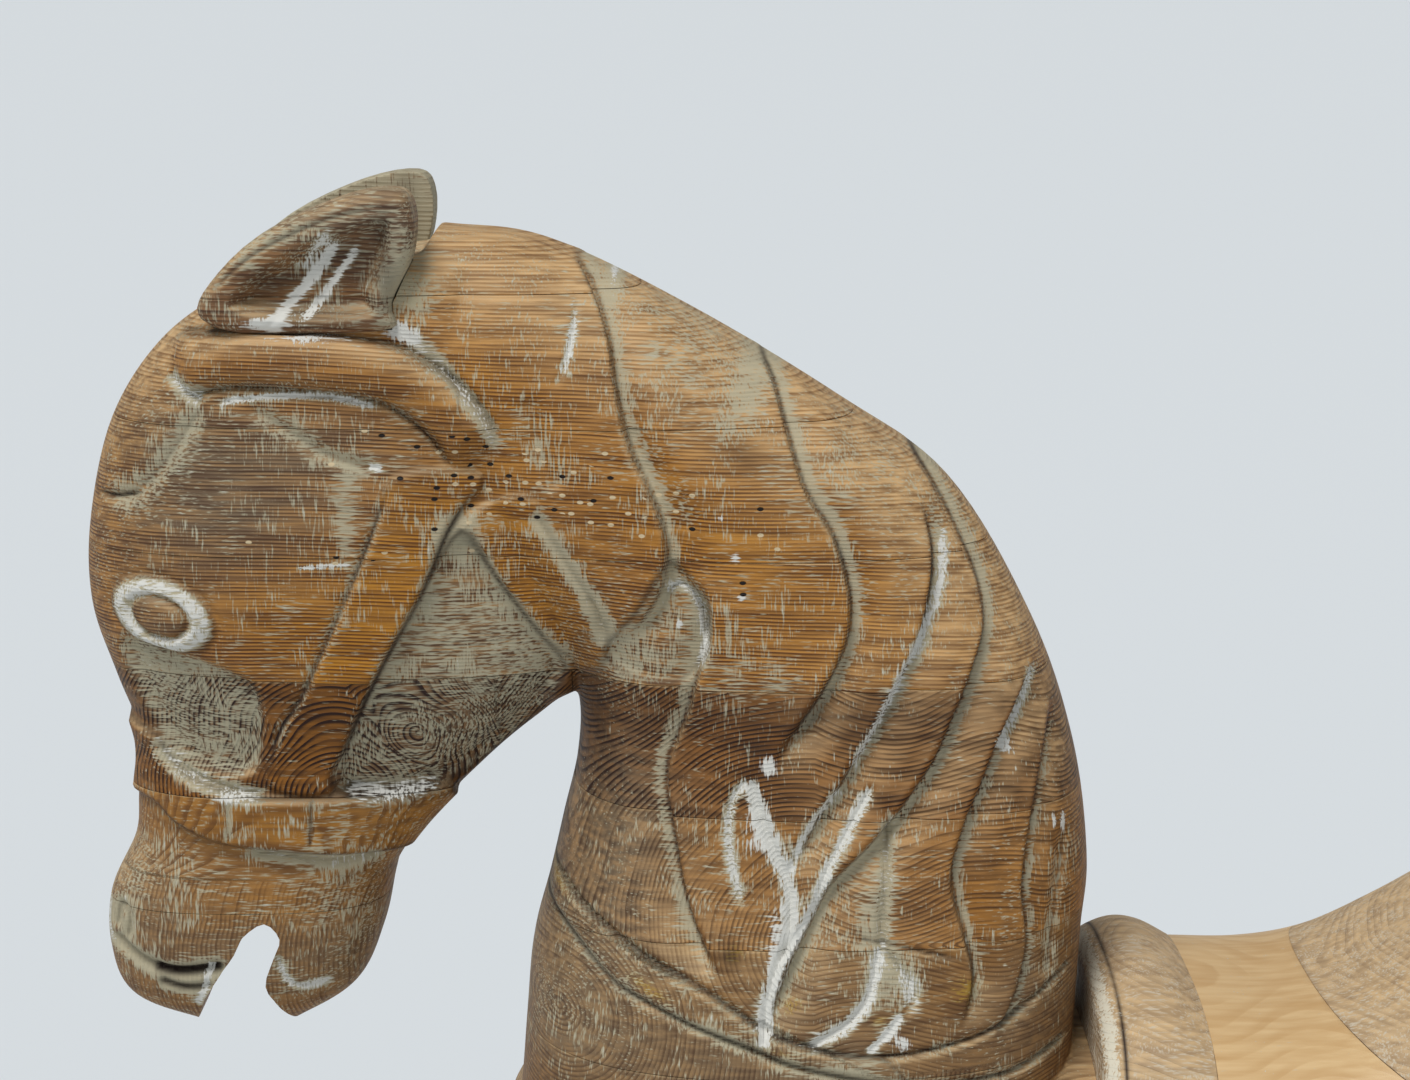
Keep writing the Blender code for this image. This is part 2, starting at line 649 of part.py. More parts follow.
def saddle_ring(x, top, half, sides=16):
    """An upright ring across the saddle, whose lower half lies below the landing."""
    middle = SADDLE_LANDING - 4
    ring = []
    for k in range(sides):
        up, across = rounded(math.tau * (k + 0.5) / sides, SADDLE_SQUARENESS)
        ring.append(at(x, across * half, middle + up * (top - middle)))
    return ring


def saddle():
    """The pommel roll, the new seat and the cantle that rises behind it."""
    y_range = (-REACH, REACH)
    floor = (SADDLE_LANDING, REACH * 2)
    roll = loft("roll", [saddle_ring(*row) for row in POMMEL_SECTIONS])
    dress(saw(roll, "pommel", (POMMEL_FRONT, POMMEL_BACK), y_range, floor), LIMED_PINE)
    bpy.data.objects.remove(roll, do_unlink=True)

    top = loft("top", [saddle_ring(*row) for row in SADDLE_SECTIONS])
    clearance = GLUE_GAP / MM
    seat = saw(top, "seat", (POMMEL_BACK, SADDLE_END), y_range, floor)
    boolean(seat, prism("joint", CANTLE_JOINT, -REACH, REACH, clearance / 2), "DIFFERENCE")
    dress(seat, PALE_PINE)
    cantle = saw(top, "cantle", (POMMEL_BACK, SADDLE_END), y_range, floor)
    boolean(cantle, prism("joint", CANTLE_JOINT, -REACH, REACH, -clearance / 2), "INTERSECT")
    dress(cantle, LIMED_PINE)
    bpy.data.objects.remove(top, do_unlink=True)


def main():
    """Carves the horse, saws it into its boards, and adds what is made apart from it."""
    clear_scene()
    form = horse_form()
    carve_lines(form)
    cut_seats(form)
    legs(form)
    head_and_neck(form)
    body(form)
    bpy.data.objects.remove(form, do_unlink=True)
    ears()
    saddle()
    dress(loft("tail", tail_rings(TAIL_SECTIONS)), AGED_PINE)
    plinth()


main()
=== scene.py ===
"""The carved wooden horse as it is seen: carved pine boards, ears, saddle, tail, legs and plinth.

Outlines are in millimetres in the CAD frame, where the horse faces -X and its near side is -Y.
Each form is drawn as smooth lofts, fused, carved by a relief of cuts, and sawn along the CAD's
glue planes into the same boards and blocks that the CAD names.
"""

import json
import logging
import math
from collections.abc import Sequence
from dataclasses import dataclass, replace
from enum import Enum

import bmesh
import bpy
import numpy as np
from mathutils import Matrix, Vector


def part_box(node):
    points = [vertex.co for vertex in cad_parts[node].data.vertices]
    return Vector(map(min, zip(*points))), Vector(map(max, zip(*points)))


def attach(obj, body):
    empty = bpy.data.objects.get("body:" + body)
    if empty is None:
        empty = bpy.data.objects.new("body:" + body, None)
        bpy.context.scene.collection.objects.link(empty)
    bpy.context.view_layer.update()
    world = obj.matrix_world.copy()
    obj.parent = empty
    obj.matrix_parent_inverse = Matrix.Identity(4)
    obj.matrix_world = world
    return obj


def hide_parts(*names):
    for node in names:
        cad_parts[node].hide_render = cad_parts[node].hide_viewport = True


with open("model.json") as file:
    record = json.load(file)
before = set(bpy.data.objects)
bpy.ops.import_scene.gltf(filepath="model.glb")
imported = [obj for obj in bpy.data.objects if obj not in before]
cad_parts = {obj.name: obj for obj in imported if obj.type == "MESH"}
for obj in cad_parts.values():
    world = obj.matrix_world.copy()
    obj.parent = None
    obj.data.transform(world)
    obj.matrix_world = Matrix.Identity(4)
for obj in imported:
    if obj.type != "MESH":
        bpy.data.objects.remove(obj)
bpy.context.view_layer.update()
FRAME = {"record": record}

LOG = logging.getLogger("carved_horse")

MM = 0.001
Colour = tuple[float, float, float]
Path = tuple[tuple[float, float], ...]
Rows = tuple[tuple[float, ...], ...]

# Glue lines in millimetres, between the boards that the CAD saws.
THROAT_LINE = 790.0
CHEEK_LINE = 739.2
BACK_LINE = 586.8
BELLY_LINE = 434.4
HEAD_TO_NECK_LOW = -352.0
MUZZLE_FLOOR = 617.6
CHEST_TO_FLANK = -222.0
FLANK_TO_RUMP = 186.0
SADDLE_LANDING = 612.0
POMMEL_FRONT = -108.0
SADDLE_END = 112.0
SADDLE_CUT_TOP = SADDLE_LANDING + 60.0
UPPER_FORM_FLOOR = BACK_LINE - 12.0
LOWER_FORM_FLOOR = BELLY_LINE - 60.0
BACK_BOARD_FRONT = -400.0
PLINTH_TOP = 40.0
FAR = 900.0
# How much wider a bore or a ledge is than the piece that fits it.
FIT = 0.3
# How square the rings of each mass are, where 2 is round.
HEAD_SQUARENESS = 2.7
TRUNK_SQUARENESS = 2.5
LEG_SQUARENESS = 2.3
SADDLE_SQUARENESS = 2.6
TENON_RADIUS = 17.0
BORE_SIDES = 48

HEAD: Rows = (
    (-483, 634, -440, 632, 20), (-510, 646, -414, 649, 32), (-517.5, 667, -403, 672, 38),
    (-516, 690, -398, 694, 40), (-505, 714, -394, 705, 40), (-503, 733, -379, 725, 42),
    (-501, 757, -353, 751, 45), (-510, 785, -328, 772, 52), (-518.5, 815, -311, 785, 56),
    (-517.5, 849, -303, 828, 58), (-507, 890, -311, 882, 56), (-486, 921, -327, 923, 52),
    (-459, 939, -342, 951, 45), (-431, 947, -358, 961, 30),
)
NECK: Rows = (
    (-421, 886, -374, 966, 40), (-385, 853, -332, 960, 52), (-352, 819, -274, 932, 60),
    (-328, 794, -213, 895, 65), (-320, 772, -168, 862, 68), (-321, 746, -134, 806, 72),
    (-327, 720, -116, 755, 76), (-333, 694, -109, 707, 81), (-340, 667, -111, 676, 87),
    (-343, 636, -113, 636, 93), (-346, 600, -115, 600, 97), (-352, 545, -120, 545, 100),
)
NECK_ROOT: Rows = NECK[6:]
TRUNK: Rows = (
    (-360, 560, -358, 494, 38), (-347, 600, -342, 464, 66), (-315, 628, -306, 446, 96),
    (-235, 633, -232, 442, 115), (-180, 630, -180, 413, 120), (-90, 626, -90, 397, 121),
    (20, 624, 20, 398, 120), (130, 629, 130, 412, 119), (197, 633, 197, 442, 120),
    (255, 633, 255, 446, 117), (310, 622, 310, 456, 98), (345, 596, 345, 486, 62),
    (357, 570, 357, 516, 34),
)
# Rows are: centre x, y, z, half the length, half the width.
FORE_LEG: Rows = (
    (-262, 70, 566, 46, 38), (-268, 75, 520, 58, 50), (-272, 77, 465, 56, 50),
    (-277, 76, 420, 45, 43), (-281, 74, 370, 33, 33), (-285, 72, 310, 26, 26),
    (-288, 71, 262, 23, 22), (-290, 71, 238, 27, 24), (-289, 71, 212, 23, 21),
    (-286, 70, 165, 17, 17), (-285, 70, 118, 18, 17), (-290, 70, 98, 22, 21),
    (-299, 70, 78, 21, 21), (-306, 70, 62, 29, 27), (-311, 70, 40, 36, 32),
)
HIND_LEG: Rows = (
    (248, 70, 600, 54, 36), (258, 77, 545, 76, 50), (262, 80, 485, 77, 52),
    (258, 78, 428, 62, 47), (256, 75, 372, 44, 37), (266, 72, 322, 32, 28),
    (284, 71, 276, 27, 23), (291, 71, 248, 29, 23), (288, 71, 220, 23, 21),
    (281, 70, 165, 18, 18), (276, 70, 118, 19, 18), (270, 70, 98, 22, 21),
    (262, 70, 78, 21, 21), (256, 70, 62, 29, 27), (251, 70, 40, 36, 32),
)
# Grooves round a leg, at the coronet, both ends of the knee and the fetlock: height, depth and
# half the width.
LEG_LINES: Rows = ((79.0, 2.0, 2.6), (226.0, 1.0, 5.0), (252.0, 1.0, 5.0), (104.0, 1.0, 4.0))
# How far forward or back each hoof stands from its rows.
STANCE = {"near_fore": -14.0, "off_fore": 20.0, "near_hind": 22.0, "off_hind": -16.0}
EAR: Path = (
    (-464, 936), (-459, 948), (-440, 966), (-410, 980), (-387, 984), (-380, 976),
    (-381, 958), (-389, 940), (-389, 930), (-425, 928), (-452, 929),
)
MOUTH: Path = (
    (-457, 678), (-448, 684), (-442, 677), (-445, 668), (-449, 655), (-444, 643),
    (-436, 618), (-481, 618), (-477, 643), (-469, 658), (-461, 670),
)


class Cut(Enum):
    """The tools that a carved line can be cut with."""

    GROOVE = "a round gouge"
    LOCK = "a sharp step down to the right of the line, rising again beyond it"
    BEAD = "a raised roll with a groove along both sides"


class Mark(Enum):
    """What is left on the wood, or has worn it, each a mask from 0 to 1; the dark mask is partly
    painted shade in cuts and creases, and the top-light mask is painted light that makes upward
    faces paler.
    """

    LIME = "lime"
    WARM = "warm"
    GREY = "grey"
    # Painted shade in cuts, creases and hollows, with some dirt.
    DARK = "dark"
    OCHRE = "ochre"
    PAINT = "paint"
    WORM = "worm"
    # Painted top light: how much a face points up, which the finish paints paler.
    PAINTED_TOP_LIGHT = "painted_top_light"


Masks = dict[Mark, np.ndarray]


class Face(Enum):
    """A flat sawn face of a board: its axis and the side that it faces."""

    LOW_X = (0, -1)
    HIGH_X = (0, 1)
    LOW_Y = (1, -1)
    HIGH_Y = (1, 1)
    LOW_Z = (2, -1)
    HIGH_Z = (2, 1)

    def plane(self, place: float) -> tuple[Vector, Vector]:
        """A plane that faces this way at a place along its axis, in metres.

        Args:
            place: Where the plane crosses the axis.

        Returns:
            A point of the plane and its outward normal.
        """
        axis, sign = self.value
        point, normal = Vector(), Vector()
        point[axis] = place
        normal[axis] = sign
        return point, normal

    def of(self, node: str) -> tuple[Vector, Vector]:
        """The plane of this face of a CAD node's box.

        Args:
            node: The CAD node.

        Returns:
            A point of the plane and its outward normal.
        """
        axis, sign = self.value
        low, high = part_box(node)
        return self.plane(high[axis] if sign > 0 else low[axis])


# ---------------------------------------------------------------- curves and lofts


def smoothstep(low: float, high: float, value: np.ndarray) -> np.ndarray:
    """Rises smoothly from 0 at low to 1 at high.

    Args:
        low: Where the rise starts.
        high: Where it ends.
        value: The values to map.

    Returns:
        The mapped values.
    """
    t = np.clip((value - low) / (high - low), 0.0, 1.0)
    return t * t * (3.0 - 2.0 * t)


def flowing(rows: Sequence[Sequence[float]], per_span: int, closed: bool = False) -> np.ndarray:
    """Draws a table of rows closer together along Catmull-Rom curves.

    Args:
        rows: The rows to pass through.
        per_span: How many rows each span becomes.
        closed: Whether the last row leads back to the first.

    Returns:
        The finer table.
    """
    table = np.array(rows, dtype=float)
    if closed:
        padded = np.vstack([table[-1:], table, table[:2]])
    else:
        padded = np.vstack([2 * table[0] - table[1], table, 2 * table[-1] - table[-2]])
    spans = len(padded) - 3
    steps = np.arange(per_span)[:, None] / per_span
    finer = []
    for i in range(spans):
        a, b, c, d = padded[i:i + 4]
        bend = (2 * a - 5 * b + 4 * c - d) * steps**2 + (3 * b - a - 3 * c + d) * steps**3
        finer.append(0.5 * (2 * b + (c - a) * steps + bend))
    if not closed:
        finer.append(table[-1:])
    return np.vstack(finer)


def unit_ring(sides: int, squareness: float) -> tuple[np.ndarray, np.ndarray]:
    """A superellipse of unit half sizes, where 2 is a circle and more is squarer.

    Args:
        sides: How many points it has.
        squareness: The power of the superellipse.

    Returns:
        The points' first and second coordinates.
    """
    angle = math.tau * (np.arange(sides) + 0.5) / sides
    power = 2.0 / squareness
    c, s = np.cos(angle), np.sin(angle)
    return np.sign(c) * np.abs(c)**power, np.sign(s) * np.abs(s)**power


def ridge_rings(rows: Rows, squareness: float, per_span: int = 8, sides: int = 96) -> np.ndarray:
    """Rings from a front or top edge to a back or bottom edge, as wide as the row says.

    Args:
        rows: Front x, z, back x, z and half the width, in millimetres.
        squareness: The shape of each ring.
        per_span: How many rings each span becomes.
        sides: How many points a ring has.

    Returns:
        Points in millimetres, as rings by sides by three.
    """
    table = flowing(rows, per_span)
    along, across = unit_ring(sides, squareness)
    middle_x, half_x = (table[:, 0] + table[:, 2]) / 2, (table[:, 0] - table[:, 2]) / 2
    middle_z, half_z = (table[:, 1] + table[:, 3]) / 2, (table[:, 1] - table[:, 3]) / 2
    x = middle_x[:, None] + half_x[:, None] * along
    y = table[:, 4][:, None] * across
    z = middle_z[:, None] + half_z[:, None] * along
    return np.stack([x, y, z], axis=2)


def upright_rings(rows: np.ndarray, squareness: float, sides: int = 64) -> np.ndarray:
    """Level rings round centres, from rows of x, y, z, half length and half width.

    Args:
        rows: The rings' centres and half sizes, in millimetres.
        squareness: The shape of each ring.
        sides: How many points a ring has.

    Returns:
        Points in millimetres, as rings by sides by three.
    """
    along, across = unit_ring(sides, squareness)
    x = rows[:, 0][:, None] + rows[:, 3][:, None] * along
    y = rows[:, 1][:, None] + rows[:, 4][:, None] * across
    z = np.repeat(rows[:, 2][:, None], sides, axis=1)
    return np.stack([x, y, z], axis=2)


def add_mesh(name: str, points: np.ndarray, faces: list[tuple[int, ...]]) -> bpy.types.Object:
    """Adds a mesh object, from millimetres, with its faces pointing out.

    Args:
        name: The object's name.
        points: Its vertices.
        faces: Vertex numbers of each face.

    Returns:
        The object.
    """
    mesh = bpy.data.meshes.new(name)
    mesh.from_pydata((points * MM).tolist(), [], faces)
    bm = bmesh.new()
    bm.from_mesh(mesh)
    bmesh.ops.recalc_face_normals(bm, faces=bm.faces)
    bm.to_mesh(mesh)
    bm.free()
    thing = bpy.data.objects.new(name, mesh)
    bpy.context.scene.collection.objects.link(thing)
    return thing


def loft(name: str, masses: Sequence[np.ndarray]) -> bpy.types.Object:
    """Adds closed skins through stacks of rings, capped at both ends, as one object.

    Args:
        name: The object's name.
        masses: For each skin, its points as rings by sides by three, in millimetres.

    Returns:
        The object.
    """
    points, faces, first = [], [], 0
    for rings in masses:
        count, sides = rings.shape[:2]
        points.append(rings.reshape(-1, 3))
        for i in range(count - 1):
            low = first + i * sides
            for k in range(sides):
                j = (k + 1) % sides
                faces.append((low + k, low + j, low + sides + j, low + sides + k))
        faces.append(tuple(range(first, first + sides)))
        last = first + (count - 1) * sides
        faces.append(tuple(range(last, last + sides)))
        first += count * sides
    return add_mesh(name, np.vstack(points), faces)


def prism(name: str, outline: np.ndarray, y_from: float, y_to: float) -> bpy.types.Object:
    """Adds an (x, z) outline extruded along Y.

    Args:
        name: The object's name.
        outline: Its corners, in millimetres.
        y_from: One end.
        y_to: The other end.

    Returns:
        The object.
    """
    rings = [np.column_stack([outline[:, 0], np.full(len(outline), y), outline[:, 1]])
             for y in (y_from, y_to)]
    return loft(name, [np.array(rings)])


def applied(thing: bpy.types.Object) -> bpy.types.Object:
    """Applies every modifier of an object.

    Args:
        thing: The object.

    Returns:
        The same object.
    """
    bpy.context.view_layer.update()
    shaped = thing.evaluated_get(bpy.context.evaluated_depsgraph_get())
    mesh = bpy.data.meshes.new_from_object(shaped)
    thing.modifiers.clear()
    thing.data = mesh
    return thing


def fused(thing: bpy.types.Object, voxel: float, rounds: int = 4) -> bpy.types.Object:
    """Fuses overlapping skins into one even mesh and eases it.

    Args:
        thing: The object to fuse.
        voxel: The size of its new faces, in millimetres.
        rounds: How many times the mesh is eased.

    Returns:
        The same object.
    """
    remesh = thing.modifiers.new("Fuse", "REMESH")
    remesh.mode = "VOXEL"
    remesh.voxel_size = voxel * MM
    ease = thing.modifiers.new("Ease", "SMOOTH")
    ease.factor = 0.5
    ease.iterations = rounds
    return applied(thing)


def minus(thing: bpy.types.Object, cutter: bpy.types.Object) -> bpy.types.Object:
    """Cuts one solid out of another and removes the cutter.

    Args:
        thing: The solid that stays.
        cutter: The solid that is taken away.

    Returns:
        The cut solid.
    """
    modifier = thing.modifiers.new("Cut", "BOOLEAN")
    modifier.operation = "DIFFERENCE"
    modifier.solver = "MANIFOLD"
    modifier.object = cutter
    applied(thing)
    bpy.data.objects.remove(cutter, do_unlink=True)
    return thing


def sawn(source: bpy.types.Mesh, name: str,
         planes: Sequence[tuple[Vector, Vector]]) -> bpy.types.Object:
    """Saws a closed mesh with planes and closes each sawn face.

    Args:
        source: The mesh to saw, which is left as it is.
        name: The new object's name.
        planes: A point and an outward normal for each plane.

    Returns:
        The part of the mesh behind all the planes.
    """
    bm = bmesh.new()
    bm.from_mesh(source)
    for point, normal in planes:
        every = bm.verts[:] + bm.edges[:] + bm.faces[:]
        found = bmesh.ops.bisect_plane(
            bm, geom=every, dist=1e-7, plane_co=point, plane_no=normal, clear_outer=True
        )
        rim = [part for part in found["geom_cut"] if isinstance(part, bmesh.types.BMEdge)]
        if rim:
            bmesh.ops.holes_fill(bm, edges=rim, sides=0)
    mesh = bpy.data.meshes.new(name)
    bm.to_mesh(mesh)
    bm.free()
    thing = bpy.data.objects.new(name, mesh)
    bpy.context.scene.collection.objects.link(thing)
    return thing


def coordinates(mesh: bpy.types.Mesh) -> np.ndarray:
    """The vertices of a mesh in millimetres.

    Args:
        mesh: The mesh.

    Returns:
        An array of points.
    """
    found = np.empty(len(mesh.vertices) * 3)
    mesh.vertices.foreach_get("co", found)
    return found.reshape(-1, 3) / MM


def normals(mesh: bpy.types.Mesh) -> np.ndarray:
    """The vertex normals of a mesh.

    Args:
        mesh: The mesh.

    Returns:
        An array of unit vectors.
    """
    found = np.empty(len(mesh.vertices) * 3)
    mesh.vertex_normals.foreach_get("vector", found)
    return found.reshape(-1, 3)


def move_to(mesh: bpy.types.Mesh, points: np.ndarray) -> None:
    """Moves the vertices of a mesh.

    Args:
        mesh: The mesh.
        points: Where each vertex goes, in millimetres.
    """
    mesh.vertices.foreach_set("co", (points * MM).ravel())
    mesh.update()


# ---------------------------------------------------------------- the carving


def signed_distance(points: np.ndarray, line: np.ndarray) -> tuple[np.ndarray, np.ndarray]:
    """How far points lie from a line of (x, z) corners.

    Args:
        points: The (x, z) points.
        line: The line's corners.

    Returns:
        The distance, positive to the right of a line that runs down, and how far along, 0 to 1.
    """
    best = np.full(len(points), np.inf)
    signed = np.zeros(len(points))
    along = np.zeros(len(points))
    runs = np.linalg.norm(np.diff(line, axis=0), axis=1)
    total, done = runs.sum(), 0.0
    for start, end, run in zip(line, line[1:], runs):
        way = (end - start) / run
        off = points - start
        t = np.clip(off @ way, 0.0, run)
        gap = off - t[:, None] * way
        distance = np.hypot(gap[:, 0], gap[:, 1])
        nearer = distance < best
        side = np.sign(way[0] * off[:, 1] - way[1] * off[:, 0])
        best[nearer] = distance[nearer]
        signed[nearer] = (distance * side)[nearer]
        along[nearer] = ((done + t) / total)[nearer]
        done += run
    return signed, along


@dataclass(frozen=True)
class Stroke:
    """One carved or painted line, in (x, z) millimetres, alike on both sides of the horse."""

    kind: Cut
    path: Path
    depth: float
    width: float = 4.0
    lip: float = 2.2
    rise: float = 16.0
    lime: float = 0.5
    dark: float = 0.5
    paint: float = 0.0
    taper: float = 0.14
    # How wide the dark band of painted shade and dirt in the cut is, in millimetres.
    shade_and_dirt: float = 0.8

    def reach(self) -> float:
        """How far the stroke can change the surface, in millimetres."""
        return max(self.rise * 1.3 if self.kind is Cut.LOCK else 0.0, self.width * 3.0, 14.0)

    def profile(self, s: np.ndarray) -> tuple[np.ndarray, np.ndarray, np.ndarray]:
        """The stroke's section at signed distances from its line.

        Args:
            s: The distances in millimetres.

        Returns:
            The height added, and the masks for lime and for the dark of painted shade and dirt.
        """
        if self.kind is Cut.GROOVE:
            near = np.exp(-(s / (self.width * 0.5))**2)
            # The groove's floor gets painted shade, with some dirt.
            return -self.depth * near, np.exp(-(s / self.width)**2), np.exp(-(s / self.shade_and_dirt)**2)
        if self.kind is Cut.BEAD:
            roll = np.sqrt(np.clip(1.0 - (s / self.width)**2, 0.0, 1.0))
            edge = np.exp(-((np.abs(s) - self.width) / 1.6)**2)
            # The grooves along both sides of the roll get lime and painted shade.
            return self.depth * roll - 1.6 * edge, edge, edge
        step = 1.0 / (1.0 + np.exp(-np.clip(s / 0.55, -30, 30)))
        lip = self.lip * np.exp(np.clip(s, -60, 0) / 8.0)
        floor = -self.depth * (1.0 - smoothstep(-0.2 * self.rise, self.rise, s))
        height = lip * (1.0 - step) + floor * step
        lime = step * np.exp(-((s - 2.4) / (0.16 * self.rise))**2)
        # Painted shade at the foot of the step, with some dirt.
        return height, lime, np.exp(-((s - 0.3) / self.shade_and_dirt)**2)


@dataclass(frozen=True)
class Panel:
    """A raised or sunk field inside a closed (x, z) outline."""

    outline: Path
    height: float
    edge: float = 1.4
    lime: float = 0.2
    dark: float = 0.4
    warm: float = 0.0
    grey: float = 0.0


@dataclass(frozen=True)
class Stain:
    """A soft-edged patch of one mask, as an ellipse in (x, z)."""

    mark: Mark
    x: float
    z: float
    half_x: float
    half_z: float
    strength: float
    tilt: float = 0.0


@dataclass
class Relief:
    """All that is carved into and left on a surface, as strokes, panels, stains and an eye."""

    strokes: tuple[Stroke, ...] = ()
    panels: tuple[Panel, ...] = ()
    stains: tuple[Stain, ...] = ()
    eye: "Eye | None" = None
    margin: float = 8.0
    rim: float = 1.1

    def measure(self, points: np.ndarray) -> tuple[np.ndarray, Masks]:
        """The height to add and the masks at points of the surface.

        Args:
            points: Points in millimetres.

        Returns:
            The height in millimetres and each mask from 0 to 1.
        """
        flat = points[:, [0, 2]]
        height = np.zeros(len(points))
        masks = {mark: np.zeros(len(points)) for mark in Mark}
        for panel in self.panels:
            self._press(panel, flat, height, masks)
        for stroke in self.strokes:
            self._cut(stroke, flat, height, masks)
        for stain in self.stains:
            c, s = math.cos(stain.tilt), math.sin(stain.tilt)
            dx, dz = flat[:, 0] - stain.x, flat[:, 1] - stain.z
            reach = ((dx * c + dz * s) / stain.half_x)**2 + ((dz * c - dx * s) / stain.half_z)**2
            lay(masks, stain.mark, stain.strength * np.exp(-reach))
        if self.eye:
            self.eye.mark(flat, height, masks)
        return height, masks

    def _cut(self, stroke: Stroke, flat: np.ndarray, height: np.ndarray,
             masks: Masks) -> None:
        """Adds one stroke.

        Args:
            stroke: The stroke.
            flat: The (x, z) of all points.
            height: The height so far, which is changed.
            masks: The masks so far, which are changed.
        """
        line = flowing(stroke.path, 5)
        reach = stroke.reach()
        low, high = line.min(axis=0) - reach, line.max(axis=0) + reach
        near = np.nonzero(np.all((flat > low) & (flat < high), axis=1))[0]
        if not len(near):
            return
        s, along = signed_distance(flat[near], line)
        ends = smoothstep(0.0, stroke.taper, along) * smoothstep(0.0, stroke.taper, 1.0 - along)
        added, lime, dark = stroke.profile(s)
        height[near] += added * ends
        lay(masks, Mark.LIME, lime * ends * stroke.lime, near)
        lay(masks, Mark.DARK, dark * ends * stroke.dark, near)
        lay(masks, Mark.PAINT, np.exp(-(s / stroke.width)**2) * ends * stroke.paint, near)

    def _press(self, panel: Panel, flat: np.ndarray, height: np.ndarray,
               masks: Masks) -> None:
        """Adds one panel.

        Args:
            panel: The panel.
            flat: The (x, z) of all points.
            height: The height so far, which is changed.
            masks: The masks so far, which are changed.
        """
        line = flowing(panel.outline, 4, closed=True)
        low, high = line.min(axis=0) - self.margin, line.max(axis=0) + self.margin
        near = np.nonzero(np.all((flat > low) & (flat < high), axis=1))[0]
        if not len(near):
            return
        inset = inside_distance(flat[near], line)
        field_ = smoothstep(-panel.edge, panel.edge, inset)
        height[near] += panel.height * field_
        # Painted shade along the field's edge, with some dirt.
        rim = np.exp(-(inset / self.rim)**2)
        lay(masks, Mark.DARK, rim * panel.dark, near)
        lay(masks, Mark.LIME, field_ * panel.lime, near)
        lay(masks, Mark.WARM, field_ * panel.warm, near)
        lay(masks, Mark.GREY, field_ * panel.grey, near)


def inside_distance(points: np.ndarray, outline: np.ndarray) -> np.ndarray:
    """How far points lie inside a closed outline.

    Args:
        points: The (x, z) points.
        outline: The outline's corners.

    Returns:
        The distance to the outline, negative outside it.
    """
    closed = np.vstack([outline, outline[:1]])
    distance = np.abs(signed_distance(points, closed)[0])
    inside = np.zeros(len(points), dtype=bool)
    for a, b in zip(closed, closed[1:]):
        crosses = (a[1] > points[:, 1]) != (b[1] > points[:, 1])
        rise = b[1] - a[1] if b[1] != a[1] else 1e-9
        inside ^= crosses & (points[:, 0] < (b[0] - a[0]) * (points[:, 1] - a[1]) / rise + a[0])
    return np.where(inside, distance, -distance)


def lay(masks: Masks, mark: Mark, amount: np.ndarray, where: np.ndarray | None = None) -> None:
    """Lays more of one mask over what is there, without passing 1.

    Args:
        masks: The masks, one of which is changed.
        mark: Which one.
        amount: How much to lay, 0 to 1.
        where: The points that it covers, or None for all.
    """
    index = slice(None) if where is None else where
    masks[mark][index] = 1.0 - (1.0 - masks[mark][index]) * (1.0 - np.clip(amount, 0.0, 1.0))


@dataclass(frozen=True)
class Eye:
    """The almond eye: a low boss with a ring of old white paint round the ball."""

    x: float = -483.0
    z: float = 816.0
    half_long: float = 20.0
    half_high: float = 13.5
    tilt: float = -0.30
    boss: float = 3.6
    ring: float = 0.60

    def mark(self, flat: np.ndarray, height: np.ndarray, masks: Masks) -> None:
        """Raises the eye and paints its ring.

        Args:
            flat: The (x, z) of all points.
            height: The height so far, which is changed.
            masks: The masks so far, which are changed.
        """
        c, s = math.cos(self.tilt), math.sin(self.tilt)
        dx, dz = flat[:, 0] - self.x, flat[:, 1] - self.z
        q = np.hypot((dx * c + dz * s) / self.half_long, (dz * c - dx * s) / self.half_high)
        height += self.boss * (1.0 - smoothstep(0.70, 1.22, q))
        height -= 2.2 * np.exp(-((q - self.ring) / 0.10)**2)
        height += 1.4 * np.clip(1.0 - (q / self.ring)**2, 0.0, 1.0)
        height -= 0.8 * np.exp(-((q - 1.18) / 0.08)**2)
        ring = smoothstep(0.54, 0.68, q) * (1.0 - smoothstep(0.94, 1.14, q))
        lay(masks, Mark.PAINT, (0.56 + 0.14 * np.sin(dx * 0.9 + 1.0) * np.sin(dz * 1.1)) * ring)
        lay(masks, Mark.LIME, 0.9 * ring)
        # Painted shade in the grooves inside and outside the ring.
        lay(masks, Mark.DARK, 0.45 * np.exp(-((q - 0.54) / 0.06)**2))
        lay(masks, Mark.DARK, 0.35 * np.exp(-((q - 1.10) / 0.06)**2))
        lay(masks, Mark.GREY, 0.5 * (1.0 - smoothstep(0.4, 0.6, q)))


